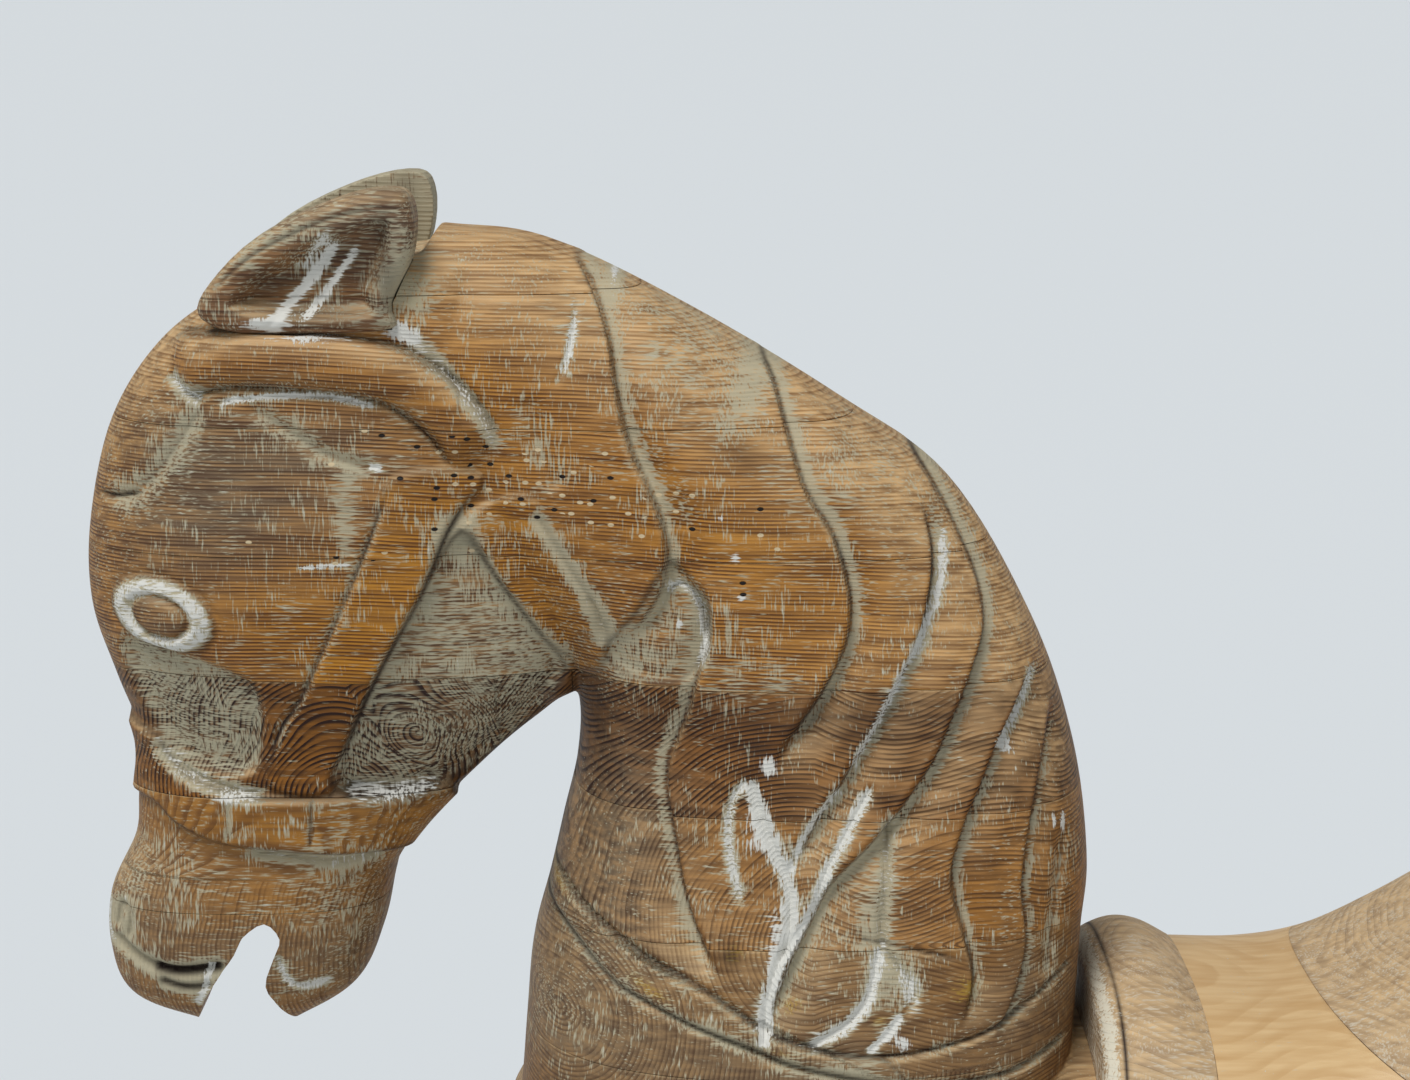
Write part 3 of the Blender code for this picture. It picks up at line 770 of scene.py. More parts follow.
def mane() -> tuple[Stroke, ...]:
    """The locks of the mane and the lines that run down the neck.

    Returns:
        The carved and painted lines.
    """
    lock, groove = Cut.LOCK, Cut.GROOVE
    return (
        Stroke(lock, ((-329, 967), (-314, 947), (-306, 928), (-302, 905), (-297, 885), (-287, 862),
                      (-283, 846), (-285, 830), (-293, 816), (-303, 805)),
               6.0, rise=18, lime=0.55, dark=0.5, lip=3.2),
        Stroke(lock, ((-262, 676), (-274, 703), (-280, 732), (-283, 756), (-275, 780), (-269, 803),
                      (-266, 822), (-272, 836)),
               6.5, rise=20, lime=0.55, dark=0.65, lip=2.6, taper=0.1),
        Stroke(lock, ((-257, 932), (-243, 911), (-237, 893), (-229, 868), (-218, 850), (-212, 830),
                      (-212, 814), (-217, 800), (-225, 786), (-235, 772), (-244, 758)),
               6.5, rise=18, lime=0.62, dark=0.8, lip=2.6),
        Stroke(lock, ((-184, 864), (-179, 843), (-181, 823), (-186, 807), (-194, 791), (-203, 774),
                      (-215, 754), (-225, 738), (-236, 717)), 5.6, rise=18, lime=0.45, dark=0.8),
        Stroke(lock, ((-201, 896), (-188, 881), (-176, 863), (-166, 843), (-160, 828), (-158, 812),
                      (-163, 796), (-170, 780), (-178, 763), (-186, 751), (-195, 739), (-207, 726),
                      (-219, 714), (-228, 697), (-236, 681), (-242, 664), (-244, 651)),
               6.0, rise=18, lime=0.65, dark=0.75, lip=2.4, taper=0.1),
        Stroke(lock, ((-134, 798), (-145, 780), (-153, 766), (-159, 752), (-166, 736), (-171, 715),
                      (-165, 690), (-162, 674), (-167, 655)), 5.4, rise=16, lime=0.55, dark=0.75),
        Stroke(lock, ((-128, 780), (-135, 752), (-140, 727), (-142, 707), (-140, 686), (-145, 665),
                      (-154, 648)), 4.4, rise=12, lime=0.45, dark=0.7),
        Stroke(groove, ((-123, 730), (-126, 707), (-129, 686), (-131, 665)), 2.0, 5.0, lime=0.3),
        Stroke(groove, ((-251, 757), (-247, 743), (-241, 728), (-235, 712), (-235, 695),
                        (-240, 681), (-244, 666), (-245, 649)),
               2.6, 3.4, lime=0.9, dark=0.1, paint=0.85, taper=0.04),
        Stroke(groove, ((-250, 757), (-257, 748), (-259, 734), (-257, 720), (-253, 703)),
               1.8, 2.4, lime=0.9, dark=0.15, paint=0.6),
        Stroke(groove, ((-202, 754), (-211, 737), (-220, 720), (-225, 707), (-231, 696),
                        (-239, 684)), 2.2, 2.6, lime=0.9, dark=0.1, paint=0.75, taper=0.06),
        Stroke(groove, ((-215, 753), (-225, 740), (-231, 730), (-236, 716)),
               1.6, 2.2, lime=0.8, dark=0.1, paint=0.6),
        Stroke(groove, ((-196, 748), (-197, 717), (-198, 692), (-192, 682), (-186, 671),
                        (-190, 660)), 2.4, 4.0, lime=0.75, dark=0.4, paint=0.25),
        Stroke(groove, ((-199, 692), (-203, 672), (-211, 661), (-222, 654), (-231, 650)),
               2.4, 3.2, lime=0.8, dark=0.2, paint=0.75),
        Stroke(groove, ((-190, 664), (-197, 655), (-205, 648)),
               1.2, 2.4, lime=0.8, dark=0.0, paint=0.8),
        Stroke(groove, ((-178, 858), (-174, 845), (-176, 828), (-184, 809), (-193, 793),
                        (-203, 774), (-215, 754)), 0.3, 2.6, lime=0.7, dark=0.0, paint=0.62),
        Stroke(groove, ((-136, 795), (-143, 779), (-153, 764)),
               0.4, 2.4, lime=0.8, dark=0.0, paint=0.6),
        Stroke(groove, ((-318, 945), (-319, 930), (-322, 917), (-327, 906)),
               1.4, 2.0, lime=0.8, dark=0.1, paint=0.7, taper=0.4),
        Stroke(groove, ((-286, 826), (-277, 831), (-270, 822), (-268, 806), (-273, 796)),
               2.4, 2.2, lime=0.8, dark=0.2, paint=0.6),
        Stroke(groove, ((-300, 895), (-290, 880), (-280, 866), (-272, 850)),
               0.8, 8.0, lime=0.15, dark=0.0),
        Stroke(groove, ((-211, 694), (-192, 690), (-168, 684)), 0.9, 1.6, lime=0.0, dark=0.8),
    )


def bridle() -> tuple[Stroke, ...]:
    """The browband's roll, the creases of brow and face, and the lips.

    Returns:
        The carved and painted lines.
    """
    bead, groove = Cut.BEAD, Cut.GROOVE
    return (
        Stroke(bead, ((-478, 914), (-463, 917), (-448, 919), (-424, 918), (-400, 915), (-386, 911),
                      (-374, 903), (-364, 893), (-355, 879)),
               7.0, 11.0, lime=0.25, dark=0.55, taper=0.09),
        Stroke(groove, ((-461, 901), (-437, 904), (-413, 904), (-392, 899)),
               1.6, 1.3, lime=0.9, dark=0.1, paint=0.85),
        Stroke(groove, ((-388, 929), (-377, 923), (-366, 911), (-356, 897), (-347, 882)), 0.8, 3.0,
               lime=0.8, dark=0.15, paint=0.35),
        Stroke(groove, ((-478, 912), (-472, 906), (-463, 901)),
               1.8, 3.6, lime=0.9, dark=0.3, paint=0.5),
        Stroke(groove, ((-447, 901), (-433, 893), (-414, 881), (-393, 875)),
               2.4, 6.0, lime=0.35, dark=0.3),
        Stroke(groove, ((-463, 901), (-486, 870), (-508, 858)), 1.8, 7.0, lime=0.4, dark=0.3),
        Stroke(groove, ((-513, 862), (-501, 862), (-487, 865)),
               1.4, 2.0, lime=0.0, dark=0.95, taper=0.3),
        Stroke(groove, ((-389, 874), (-399, 848), (-409, 824), (-420, 800), (-428, 783),
                        (-439, 765), (-443, 744)), 1.8, 3.0, lime=0.25, dark=0.8),
        Stroke(groove, ((-355, 872), (-368, 852), (-380, 824), (-396, 795), (-409, 767),
                        (-417, 744)), 1.8, 3.0, lime=0.25, dark=0.8),
        Stroke(groove, ((-514, 676), (-509, 671), (-498, 665), (-484, 662), (-463, 665)),
               3.4, 5.0, lime=0.9, dark=0.3, taper=0.10, shade_and_dirt=1.6),
        Stroke(groove, ((-496, 664), (-484, 662), (-465, 665)),
               1.2, 2.4, lime=0.0, dark=0.95, taper=0.1, shade_and_dirt=2.4),
        Stroke(groove, ((-494, 658), (-485, 655), (-476, 655), (-470, 657)),
               2.2, 3.6, lime=0.9, dark=0.85, shade_and_dirt=1.7),
        Stroke(groove, ((-443, 672), (-441, 661), (-435, 655), (-420, 657)),
               1.4, 2.2, lime=0.8, dark=0.2, paint=0.6),
        Stroke(groove, ((-470, 668), (-474, 655), (-479, 645)),
               0.6, 1.8, lime=0.8, dark=0.0, paint=0.7),
        Stroke(groove, ((-515, 690), (-516, 678), (-513, 668)),
               0.4, 2.0, lime=0.8, dark=0.0, paint=0.5),
        Stroke(groove, ((-456, 716), (-432, 713), (-416, 711), (-396, 713)),
               1.4, 3.0, lime=0.9, dark=0.2, paint=0.25),
        Stroke(groove, ((-460, 740), (-460, 727), (-461, 719)), 0.8, 1.6, lime=0.5, dark=0.2),
        Stroke(groove, ((-426, 740), (-427, 727), (-428, 717)), 0.8, 1.6, lime=0.3, dark=0.6),
        Stroke(groove, ((-512, 676), (-509, 688), (-505, 684), (-506, 673)),
               2.2, 3.4, lime=0.6, dark=0.4),
        Stroke(groove, ((-416, 743), (-400, 740), (-384, 741), (-374, 743)),
               2.6, 4.0, lime=0.6, dark=0.95, paint=0.5, shade_and_dirt=2.4),
        Stroke(groove, ((-492, 763), (-484, 753), (-470, 745), (-455, 741), (-442, 742)),
               2.0, 4.0, lime=0.9, dark=0.2, paint=0.3),
        Stroke(groove, ((-314, 826), (-309, 815), (-307, 804)),
               1.0, 3.4, lime=1.0, dark=0.0, paint=0.15),
        Stroke(groove, ((-336, 862), (-323, 840), (-312, 822), (-307, 804)),
               2.0, 3.4, lime=0.9, dark=0.2),
        Stroke(groove, ((-364, 853), (-349, 830), (-332, 806), (-318, 793)),
               1.6, 3.0, lime=0.6, dark=0.5),
        Stroke(groove, ((-338, 905), (-332, 885), (-325, 866)), 1.6, 9.0, lime=0.2, dark=0.1),
        Stroke(groove, ((-400, 877), (-392, 876)),
               0.6, 1.6, lime=0.8, dark=0.0, paint=0.9, taper=0.3),
        Stroke(groove, ((-428, 837), (-412, 838), (-404, 838)),
               0.4, 0.9, lime=0.6, dark=0.0, paint=0.8),
    )


def collar() -> tuple[Stroke, ...]:
    """The grooves along both edges of the band at the foot of the neck.

    Returns:
        The two lines.
    """
    groove = Cut.GROOVE
    return (
        Stroke(groove, ((-336, 711), (-319, 698), (-305, 690), (-290, 682), (-274, 675),
                        (-258, 666), (-242, 656), (-219, 649), (-199, 647), (-175, 649),
                        (-152, 654), (-128, 666), (-117, 671)),
               2.2, 2.6, lime=0.3, dark=0.75, taper=0.02),
        Stroke(groove, ((-340, 698), (-321, 685), (-305, 672), (-290, 665), (-270, 657),
                        (-250, 650), (-230, 643), (-191, 636), (-150, 634), (-118, 640)),
               2.6, 3.0, lime=0.45, dark=0.6, taper=0.02),
    )


def fields() -> tuple[Panel, ...]:
    """The straps, the sunk cheek and the other raised or sunk fields.

    Returns:
        The fields.
    """
    return (
        Panel(((-389, 873), (-399, 848), (-409, 824), (-420, 800), (-428, 783), (-439, 765),
               (-443, 744), (-417, 743), (-409, 767), (-396, 795), (-380, 824), (-368, 852),
               (-355, 873)), 2.2, lime=0.0, dark=0.3, warm=0.85),
        Panel(((-363, 851), (-349, 830), (-333, 806), (-324, 790), (-338, 768), (-356, 750),
               (-376, 742), (-417, 742), (-409, 767), (-396, 795), (-380, 824)),
              -5.0, 2.2, lime=0.32, dark=0.5, grey=0.7),
        Panel(((-364, 853), (-348, 830), (-331, 805), (-322, 792), (-309, 795), (-307, 816),
               (-313, 828), (-325, 846), (-338, 866)), 1.8, lime=0.05, dark=0.15, warm=0.5),
        Panel(((-284, 838), (-295, 820), (-307, 803), (-300, 794), (-280, 792), (-270, 800),
               (-266, 814), (-271, 829), (-277, 837)), -3.0, 2.4, lime=0.2, dark=0.5, grey=0.35),
        Panel(((-512, 768), (-492, 764), (-485, 755), (-475, 746), (-455, 740), (-445, 739),
               (-419, 739), (-372, 741), (-380, 716), (-408, 714), (-428, 715), (-448, 717),
               (-466, 720), (-482, 727), (-492, 735), (-512, 738)),
              3.8, 1.8, lime=0.0, dark=0.6, warm=0.6),
        Panel(((-502, 800), (-490, 803), (-470, 798), (-448, 788), (-445, 771), (-450, 751),
               (-472, 751), (-487, 763)), -4.6, 3.0, lime=0.42, dark=0.15, grey=0.8),
        Panel(((-336, 710), (-319, 697), (-305, 689), (-290, 681), (-274, 675), (-258, 666),
               (-242, 656), (-219, 649), (-199, 647), (-191, 636), (-230, 643), (-250, 651),
               (-270, 657), (-290, 665), (-305, 671), (-321, 684), (-338, 697)),
              2.0, 1.6, lime=0.1, dark=0.5),
    )


def stains() -> tuple[Stain, ...]:
    """Patches of grey wear, bare orange wood, lime, ochre paint, white paint and worm.

    Returns:
        The patches.
    """
    # Each row: middle x and z, both half widths, how strong it is, and its tilt.
    patches = {
        Mark.GREY: (
            (-455, 862, 60, 32, 0.95, 0.35), (-430, 885, 46, 10, 0.45), (-472, 886, 30, 18, 0.7),
            (-500, 780, 24, 30, 0.5), (-302, 735, 24, 52, 0.8), (-316, 700, 30, 40, 0.6),
            (-470, 668, 48, 20, 0.55), (-500, 690, 18, 24, 0.5), (-415, 666, 26, 22, 0.55),
            (-330, 650, 60, 26, 0.55), (-240, 640, 80, 24, 0.6), (-215, 690, 34, 40, 0.15),
            (-140, 655, 24, 30, 0.45),
        ),
        # Dark patches: painted shade along edges and steps, with some dirt.
        Mark.DARK: (
            (-468, 880, 32, 20, 0.12), (-312, 775, 9, 30, 0.55), (-330, 720, 6, 40, 0.4),
            (-248, 767, 6, 4, 0.6), (-326, 690, 16, 4, 0.35, -0.5), (-251, 881, 9, 6, 0.45),
            (-258, 686, 4, 4, 0.7), (-388, 740, 28, 5, 0.6), (-222, 780, 80, 9, 0.42),
        ),
        Mark.LIME: (
            (-492, 700, 20, 16, 0.2), (-418, 700, 16, 26, 0.25), (-276, 925, 24, 24, 0.25),
            (-215, 872, 26, 20, 0.2), (-225, 690, 34, 34, 0.12), (-194, 676, 10, 12, 0.5),
            (-330, 655, 40, 20, 0.15), (-408, 857, 5, 19, 0.6), (-300, 800, 10, 16, 0.4),
            (-255, 800, 20, 22, 0.25), (-366, 850, 10, 8, 0.8), (-384, 945, 12, 14, 0.55),
            (-250, 908, 8, 22, 0.6, -0.4), (-304, 950, 4, 12, 0.9), (-262, 655, 12, 3, 0.5, -0.4),
            (-215, 641, 22, 3, 0.6, -0.1), (-205, 700, 5, 22, 0.4),
        ),
        Mark.WARM: (
            (-420, 815, 34, 26, 0.7), (-350, 905, 26, 40, 0.5), (-255, 850, 46, 50, 0.55),
            (-200, 800, 40, 50, 0.5), (-445, 728, 34, 12, 0.7), (-440, 690, 30, 16, 0.55),
            (-150, 700, 26, 40, 0.5), (-500, 880, 16, 30, 0.6),
        ),
        Mark.PAINT: (
            (-386, 929, 9, 4, 0.85, -0.6), (-243, 761, 3.5, 5, 0.75), (-418, 927, 20, 2.0, 0.6),
            (-304, 951, 1.6, 7, 0.8), (-247, 735, 5, 12, 0.45), (-240, 690, 4, 16, 0.5),
            (-188, 672, 5, 9, 0.45, 0.3), (-124, 730, 1.2, 4, 0.95), (-128, 731, 1.0, 3.5, 0.8),
            (-150, 765, 4, 3, 0.7), (-460, 739, 9, 2, 0.5), (-254, 827, 1.6, 1.6, 0.9),
            (-278, 815, 1.4, 1.8, 0.8), (-256, 843, 2.4, 2.4, 0.6), (-262, 858, 1.8, 1.0, 0.6),
            (-190, 652, 4, 5, 0.6, 0.8),
        ),
        Mark.OCHRE: (
            (-164, 671, 8, 7, 0.8), (-235, 667, 7, 5, 0.7), (-257, 687, 5, 6, 0.7),
            (-330, 703, 14, 4, 0.75, -0.5), (-290, 671, 12, 4, 0.7, -0.5),
            (-240, 650, 10, 3, 0.6, -0.3), (-198, 662, 8, 4, 0.6), (-380, 946, 9, 14, 0.55),
        ),
        Mark.WORM: (
            (-330, 869, 50, 13, 1.0, -0.2), (-388, 840, 42, 3, 0.55), (-258, 842, 16, 16, 0.10),
            (-445, 852, 24, 14, 0.12),
        ),
    }
    return tuple(Stain(mark, *row) for mark, rows in patches.items() for row in rows)


def horse_relief() -> Relief:
    """Everything carved into the horse and left on it.

    Returns:
        The horse's relief.
    """
    return Relief(mane() + bridle() + collar(), fields(), stains(), Eye())


# ---------------------------------------------------------------- annual rings

BOARD_THICK = THROAT_LINE - CHEEK_LINE
# How far the rings shift from one board to the next.
BOARD_SHIFT = 17.3
# The hearts that the rings of the lower boards curve about, as x and z.
NECK_HEART = (-225.0, 690.0)
TRUNK_HEART = (-215.0, 690.0)
MUZZLE_HEART_LEVEL = 770.0
CHEEK_HEART = (-415.0, 722.0)
CHEEK_KNOT = (-383.0, 766.0)
CHEST_PITH = (-327.0, 655.0)


def annual_rings(points: np.ndarray) -> np.ndarray:
    """Where points lie among the wood's annual rings.

    Boards above the throat show nearly level rings.  Those below curve about a heart of their
    own, and in front of the collar the end grain shows.

    Args:
        points: Points in millimetres.

    Returns:
        The distance across the rings, in millimetres.
    """
    x, y, z = points.T
    board = np.maximum(np.floor((z - THROAT_LINE) / BOARD_THICK), -1.0)
    level = z + 0.03 * x + 0.05 * y + 0.9 * np.sin(x / 47.0 + board)
    level += 0.4 * np.sin(x / 17.0 + y / 30.0)
    bow = 0.0022 * (x - TRUNK_HEART[0])**2
    curved = np.hypot(np.abs(y) - 10.0, (z - TRUNK_HEART[1]) * 0.62 - bow)
    curved += 1.4 * np.sin(x / 29.0 + 1.0) + 0.7 * np.sin(x / 11.0 + z / 17.0)
    ahead = x - NECK_HEART[0]
    arches = np.hypot(np.clip(ahead, None, 0.0), z - NECK_HEART[1]) + 0.15 * np.abs(y)
    arches += 5.0 * np.sin(np.clip(ahead, 0.0, None) / 15.0) + 0.8 * np.sin(x / 9.0 + z / 13.0)
    curved = np.where(z > BACK_LINE, arches, curved)
    muzzle = np.hypot(np.abs(y) + 60.0, (z - MUZZLE_HEART_LEVEL) * 0.7) + 1.2 * np.sin(x / 19.0)
    dx, dz = x - CHEEK_KNOT[0], z - CHEEK_KNOT[1]
    figure = np.hypot(dx + 0.5 * dz, 0.6 * dz - 0.25 * dx)
    figure += 2.2 * np.sin(x / 6.0 + z / 8.0) + 1.4 * np.sin(z / 4.5 - x / 13.0)
    cheek = np.hypot(x - CHEEK_HEART[0], (z - CHEEK_HEART[1]) * 0.62) + 1.2 * np.sin(z / 5.0)
    cheek = np.minimum(cheek, figure + 20.0)
    muzzle = np.where(z > CHEEK_LINE, cheek, muzzle)
    curved = np.where(x < HEAD_TO_NECK_LOW, muzzle, curved)
    ends = np.hypot(x - CHEST_PITH[0], z - CHEST_PITH[1])
    rings = np.where(z > THROAT_LINE, level, curved)
    chest = (z < 640.0 + 0.45 * np.clip(-x - 200.0, 0.0, 140.0)) & (x < -150.0) & (z > BACK_LINE)
    return np.where(chest, ends, rings) + board * BOARD_SHIFT


# ---------------------------------------------------------------- node helpers


def feed(tree: bpy.types.NodeTree, socket: bpy.types.NodeSocket, source: object) -> None:
    """Links a socket to another, or sets its constant.

    Args:
        tree: The node tree.
        socket: The input.
        source: An output socket or a value.
    """
    if isinstance(source, bpy.types.NodeSocket):
        tree.links.new(source, socket)
    else:
        socket.default_value = source


def maths(tree: bpy.types.NodeTree, operation: str, *sources: object,
          clamp: bool = False) -> bpy.types.NodeSocket:
    """Adds one Math node.

    Args:
        tree: The node tree.
        operation: Blender's name of the operation.
        sources: Its inputs, as sockets or numbers.
        clamp: Whether the result stays between 0 and 1.

    Returns:
        Its output.
    """
    node = tree.nodes.new("ShaderNodeMath")
    node.operation = operation
    node.use_clamp = clamp
    for socket, source in zip(node.inputs, sources):
        feed(tree, socket, source)
    return node.outputs[0]


def blend(tree: bpy.types.NodeTree, factor: object, first: object,
          second: object) -> bpy.types.NodeSocket:
    """Mixes two colours.

    Args:
        tree: The node tree.
        factor: How much of the second.
        first: A colour or a socket.
        second: A colour or a socket.

    Returns:
        The mixed colour.
    """
    node = tree.nodes.new("ShaderNodeMix")
    node.data_type = "RGBA"
    feed(tree, node.inputs[0], factor)
    for socket, source in ((node.inputs[6], first), (node.inputs[7], second)):
        feed(tree, socket, (*source, 1.0) if isinstance(source, tuple) else source)
    return node.outputs[2]


def rise(tree: bpy.types.NodeTree, value: bpy.types.NodeSocket, low: float, high: float,
         to_low: float = 0.0, to_high: float = 1.0) -> bpy.types.NodeSocket:
    """Maps a value smoothly from one range to another.

    Args:
        tree: The node tree.
        value: The value.
        low: Where the range starts.
        high: Where it ends.
        to_low: The result at low.
        to_high: The result at high.

    Returns:
        The mapped value.
    """
    node = tree.nodes.new("ShaderNodeMapRange")
    node.interpolation_type = "SMOOTHSTEP"
    feed(tree, node.inputs["Value"], value)
    node.inputs["From Min"].default_value = low
    node.inputs["From Max"].default_value = high
    node.inputs["To Min"].default_value = to_low
    node.inputs["To Max"].default_value = to_high
    return node.outputs[0]


def noise(tree: bpy.types.NodeTree, place: bpy.types.NodeSocket, scale: float,
          detail: float = 2.0, stretch: Colour = (1.0, 1.0, 1.0)) -> bpy.types.NodeSocket:
    """Adds a noise of the surface's place.

    Args:
        tree: The node tree.
        place: The position.
        scale: How many grains to a metre.
        detail: How many finer layers it has.
        stretch: How much finer the grain is along each axis.

    Returns:
        The noise, about 0.5.
    """
    mapping = tree.nodes.new("ShaderNodeMapping")
    mapping.inputs["Scale"].default_value = stretch
    tree.links.new(place, mapping.inputs["Vector"])
    node = tree.nodes.new("ShaderNodeTexNoise")
    node.inputs["Detail"].default_value = detail
    feed(tree, node.inputs["Scale"], scale)
    tree.links.new(mapping.outputs[0], node.inputs["Vector"])
    return node.outputs["Fac"]


def attribute(tree: bpy.types.NodeTree, name: str) -> bpy.types.NodeSocket:
    """Reads one of the surface's own measures.

    Args:
        tree: The node tree.
        name: The measure's name.

    Returns:
        Its value.
    """
    node = tree.nodes.new("ShaderNodeAttribute")
    node.attribute_name = name
    return node.outputs["Fac"]


class Effects:
    """The effects that several finishes share, each a node group that is built once."""

    def __init__(self) -> None:
        """Builds every group."""
        self.rings = self._rings()
        self.fibre = self._fibre()
        self.residue = self._residue()
        self.worm = self._worm()

    @staticmethod
    def _begin(
        name: str, inputs: Sequence[tuple[str, str]], outputs: Sequence[str],
    ) -> tuple[bpy.types.NodeTree, bpy.types.Node, bpy.types.Node]:
        """Starts a group with its inputs and outputs.

        Args:
            name: The group's name.
            inputs: Each input's name and kind.
            outputs: The outputs' names, each a value.

        Returns:
            The group, its input node and its output node.
        """
        tree = bpy.data.node_groups.new(name, "ShaderNodeTree")
        for label, kind in inputs:
            tree.interface.new_socket(name=label, in_out="INPUT", socket_type=f"NodeSocket{kind}")
        for label in outputs:
            tree.interface.new_socket(name=label, in_out="OUTPUT", socket_type="NodeSocketFloat")
        return tree, tree.nodes.new("NodeGroupInput"), tree.nodes.new("NodeGroupOutput")

    def _rings(self) -> bpy.types.NodeTree:
        """Thin dark lines of late wood, from the distance across the rings.

        Returns:
            The group.
        """
        inputs = (
            ("Place", "Vector"), ("Ring", "Float"), ("Spacing", "Float"), ("Wobble", "Float"),
        )
        tree, given, out = self._begin("Annual rings", inputs, ("Line", "Year"))
        wave = noise(tree, given.outputs["Place"], 30.0, 3.0, (0.6, 1.0, 1.5))
        broken = noise(tree, given.outputs["Place"], 60.0, 3.0, (0.5, 1.0, 2.5))
        shift = maths(tree, "SUBTRACT", wave, 0.5)
        shift = maths(tree, "MULTIPLY", shift, given.outputs["Wobble"])
        ring = maths(tree, "ADD", given.outputs["Ring"], shift)
        count = maths(tree, "DIVIDE", ring, given.outputs["Spacing"])
        part = maths(tree, "FRACT", count)
        white = tree.nodes.new("ShaderNodeTexWhiteNoise")
        white.noise_dimensions = "1D"
        tree.links.new(maths(tree, "FLOOR", count), white.inputs["W"])
        year = white.outputs["Value"]
        line = maths(tree, "MULTIPLY", rise(tree, part, 0.30, 0.84), rise(tree, part, 1.0, 0.88))
        strength = rise(tree, broken, 0.34, 0.66, 0.0, 0.95)
        strength = maths(tree, "MULTIPLY_ADD", year, 0.7, strength)
        tree.links.new(maths(tree, "MULTIPLY", line, strength, clamp=True), out.inputs["Line"])
        tree.links.new(year, out.inputs["Year"])
        return tree

    def _fibre(self) -> bpy.types.NodeTree:
        """Short streaks along the grain, and broad clouds of tone.

        Returns:
            The group.
        """
        inputs = (("Place", "Vector"),)
        tree, given, out = self._begin("Fibre", inputs, ("Streak", "Cloud"))
        streak = noise(tree, given.outputs["Place"], 220.0, 3.0, (0.12, 1.0, 1.8))
        cloud = noise(tree, given.outputs["Place"], 16.0, 3.0, (0.6, 1.0, 1.3))
        tree.links.new(rise(tree, streak, 0.30, 0.72), out.inputs["Streak"])
        tree.links.new(rise(tree, cloud, 0.30, 0.70), out.inputs["Cloud"])
        return tree

    def _residue(self) -> bpy.types.NodeTree:
        """Lime or paint that stays in the low places: broken by fibres and by rubbing.

        Returns:
            The group.
        """
        inputs = (("Place", "Vector"), ("Mask", "Float"), ("Line", "Float"))
        tree, given, out = self._begin("Residue", inputs, ("Amount",))
        rubbed = noise(tree, given.outputs["Place"], 90.0, 4.0)
        level = noise(tree, given.outputs["Place"], 900.0, 2.0, (0.16, 1.0, 1.4))
        upright = noise(tree, given.outputs["Place"], 900.0, 2.0, (1.3, 1.0, 0.16))
        patch = rise(tree, noise(tree, given.outputs["Place"], 45.0, 2.0), 0.46, 0.56)
        hatch = maths(tree, "MULTIPLY_ADD", patch, maths(tree, "SUBTRACT", upright, level), level)
        broken = maths(tree, "MULTIPLY_ADD", rubbed, 0.8, maths(tree, "MULTIPLY", hatch, 2.5))
        broken = maths(tree, "SUBTRACT", broken, 2.20)
        held = maths(tree, "MULTIPLY_ADD", given.outputs["Mask"], 1.25, broken)
        kept = maths(tree, "MULTIPLY_ADD", given.outputs["Line"], -0.15, held)
        tree.links.new(rise(tree, kept, -0.10, 0.40), out.inputs["Amount"])
        return tree

    def _worm(self) -> bpy.types.NodeTree:
        """Round exit holes of beetles, with a pale halo of frass in the grain.

        Returns:
            The group.
        """
        inputs = (("Place", "Vector"), ("Mask", "Float"))
        tree, given, out = self._begin("Worm", inputs, ("Hole", "Halo"))
        mapping = tree.nodes.new("ShaderNodeMapping")
        mapping.inputs["Scale"].default_value = (0.6, 1.0, 1.0)
        mapping.inputs["Rotation"].default_value = (-math.pi / 2.0, 0.0, 0.0)
        tree.links.new(given.outputs["Place"], mapping.inputs["Vector"])
        cells = tree.nodes.new("ShaderNodeTexVoronoi")
        cells.voronoi_dimensions = "2D"
        cells.inputs["Scale"].default_value = 250.0
        tree.links.new(mapping.outputs[0], cells.inputs["Vector"])
        split = tree.nodes.new("ShaderNodeSeparateColor")
        tree.links.new(cells.outputs["Color"], split.inputs[0])
        share = maths(tree, "MULTIPLY", given.outputs["Mask"], 0.75)
        chosen = maths(tree, "LESS_THAN", split.outputs[0], share)
        open_ = maths(tree, "LESS_THAN", split.outputs[1], 0.42)
        spot = maths(tree, "MULTIPLY", rise(tree, cells.outputs["Distance"], 0.22, 0.15), chosen)
        holes = maths(tree, "MULTIPLY", spot, open_)
        pale = maths(tree, "MULTIPLY", spot, maths(tree, "SUBTRACT", 1.0, open_))
        tree.links.new(holes, out.inputs["Hole"])
        tree.links.new(pale, out.inputs["Halo"])
        return tree

    @staticmethod
    def place(tree: bpy.types.NodeTree, group: bpy.types.NodeTree,
              **sources: object) -> bpy.types.ShaderNodeGroup:
        """Places a group in a material.

        Args:
            tree: The material's nodes.
            group: The group.
            sources: What feeds each of its inputs.

        Returns:
            The placed group.
        """
        node = tree.nodes.new("ShaderNodeGroup")
        node.node_tree = group
        for label, source in sources.items():
            feed(tree, node.inputs[label], source)
        return node


# ---------------------------------------------------------------- finishes


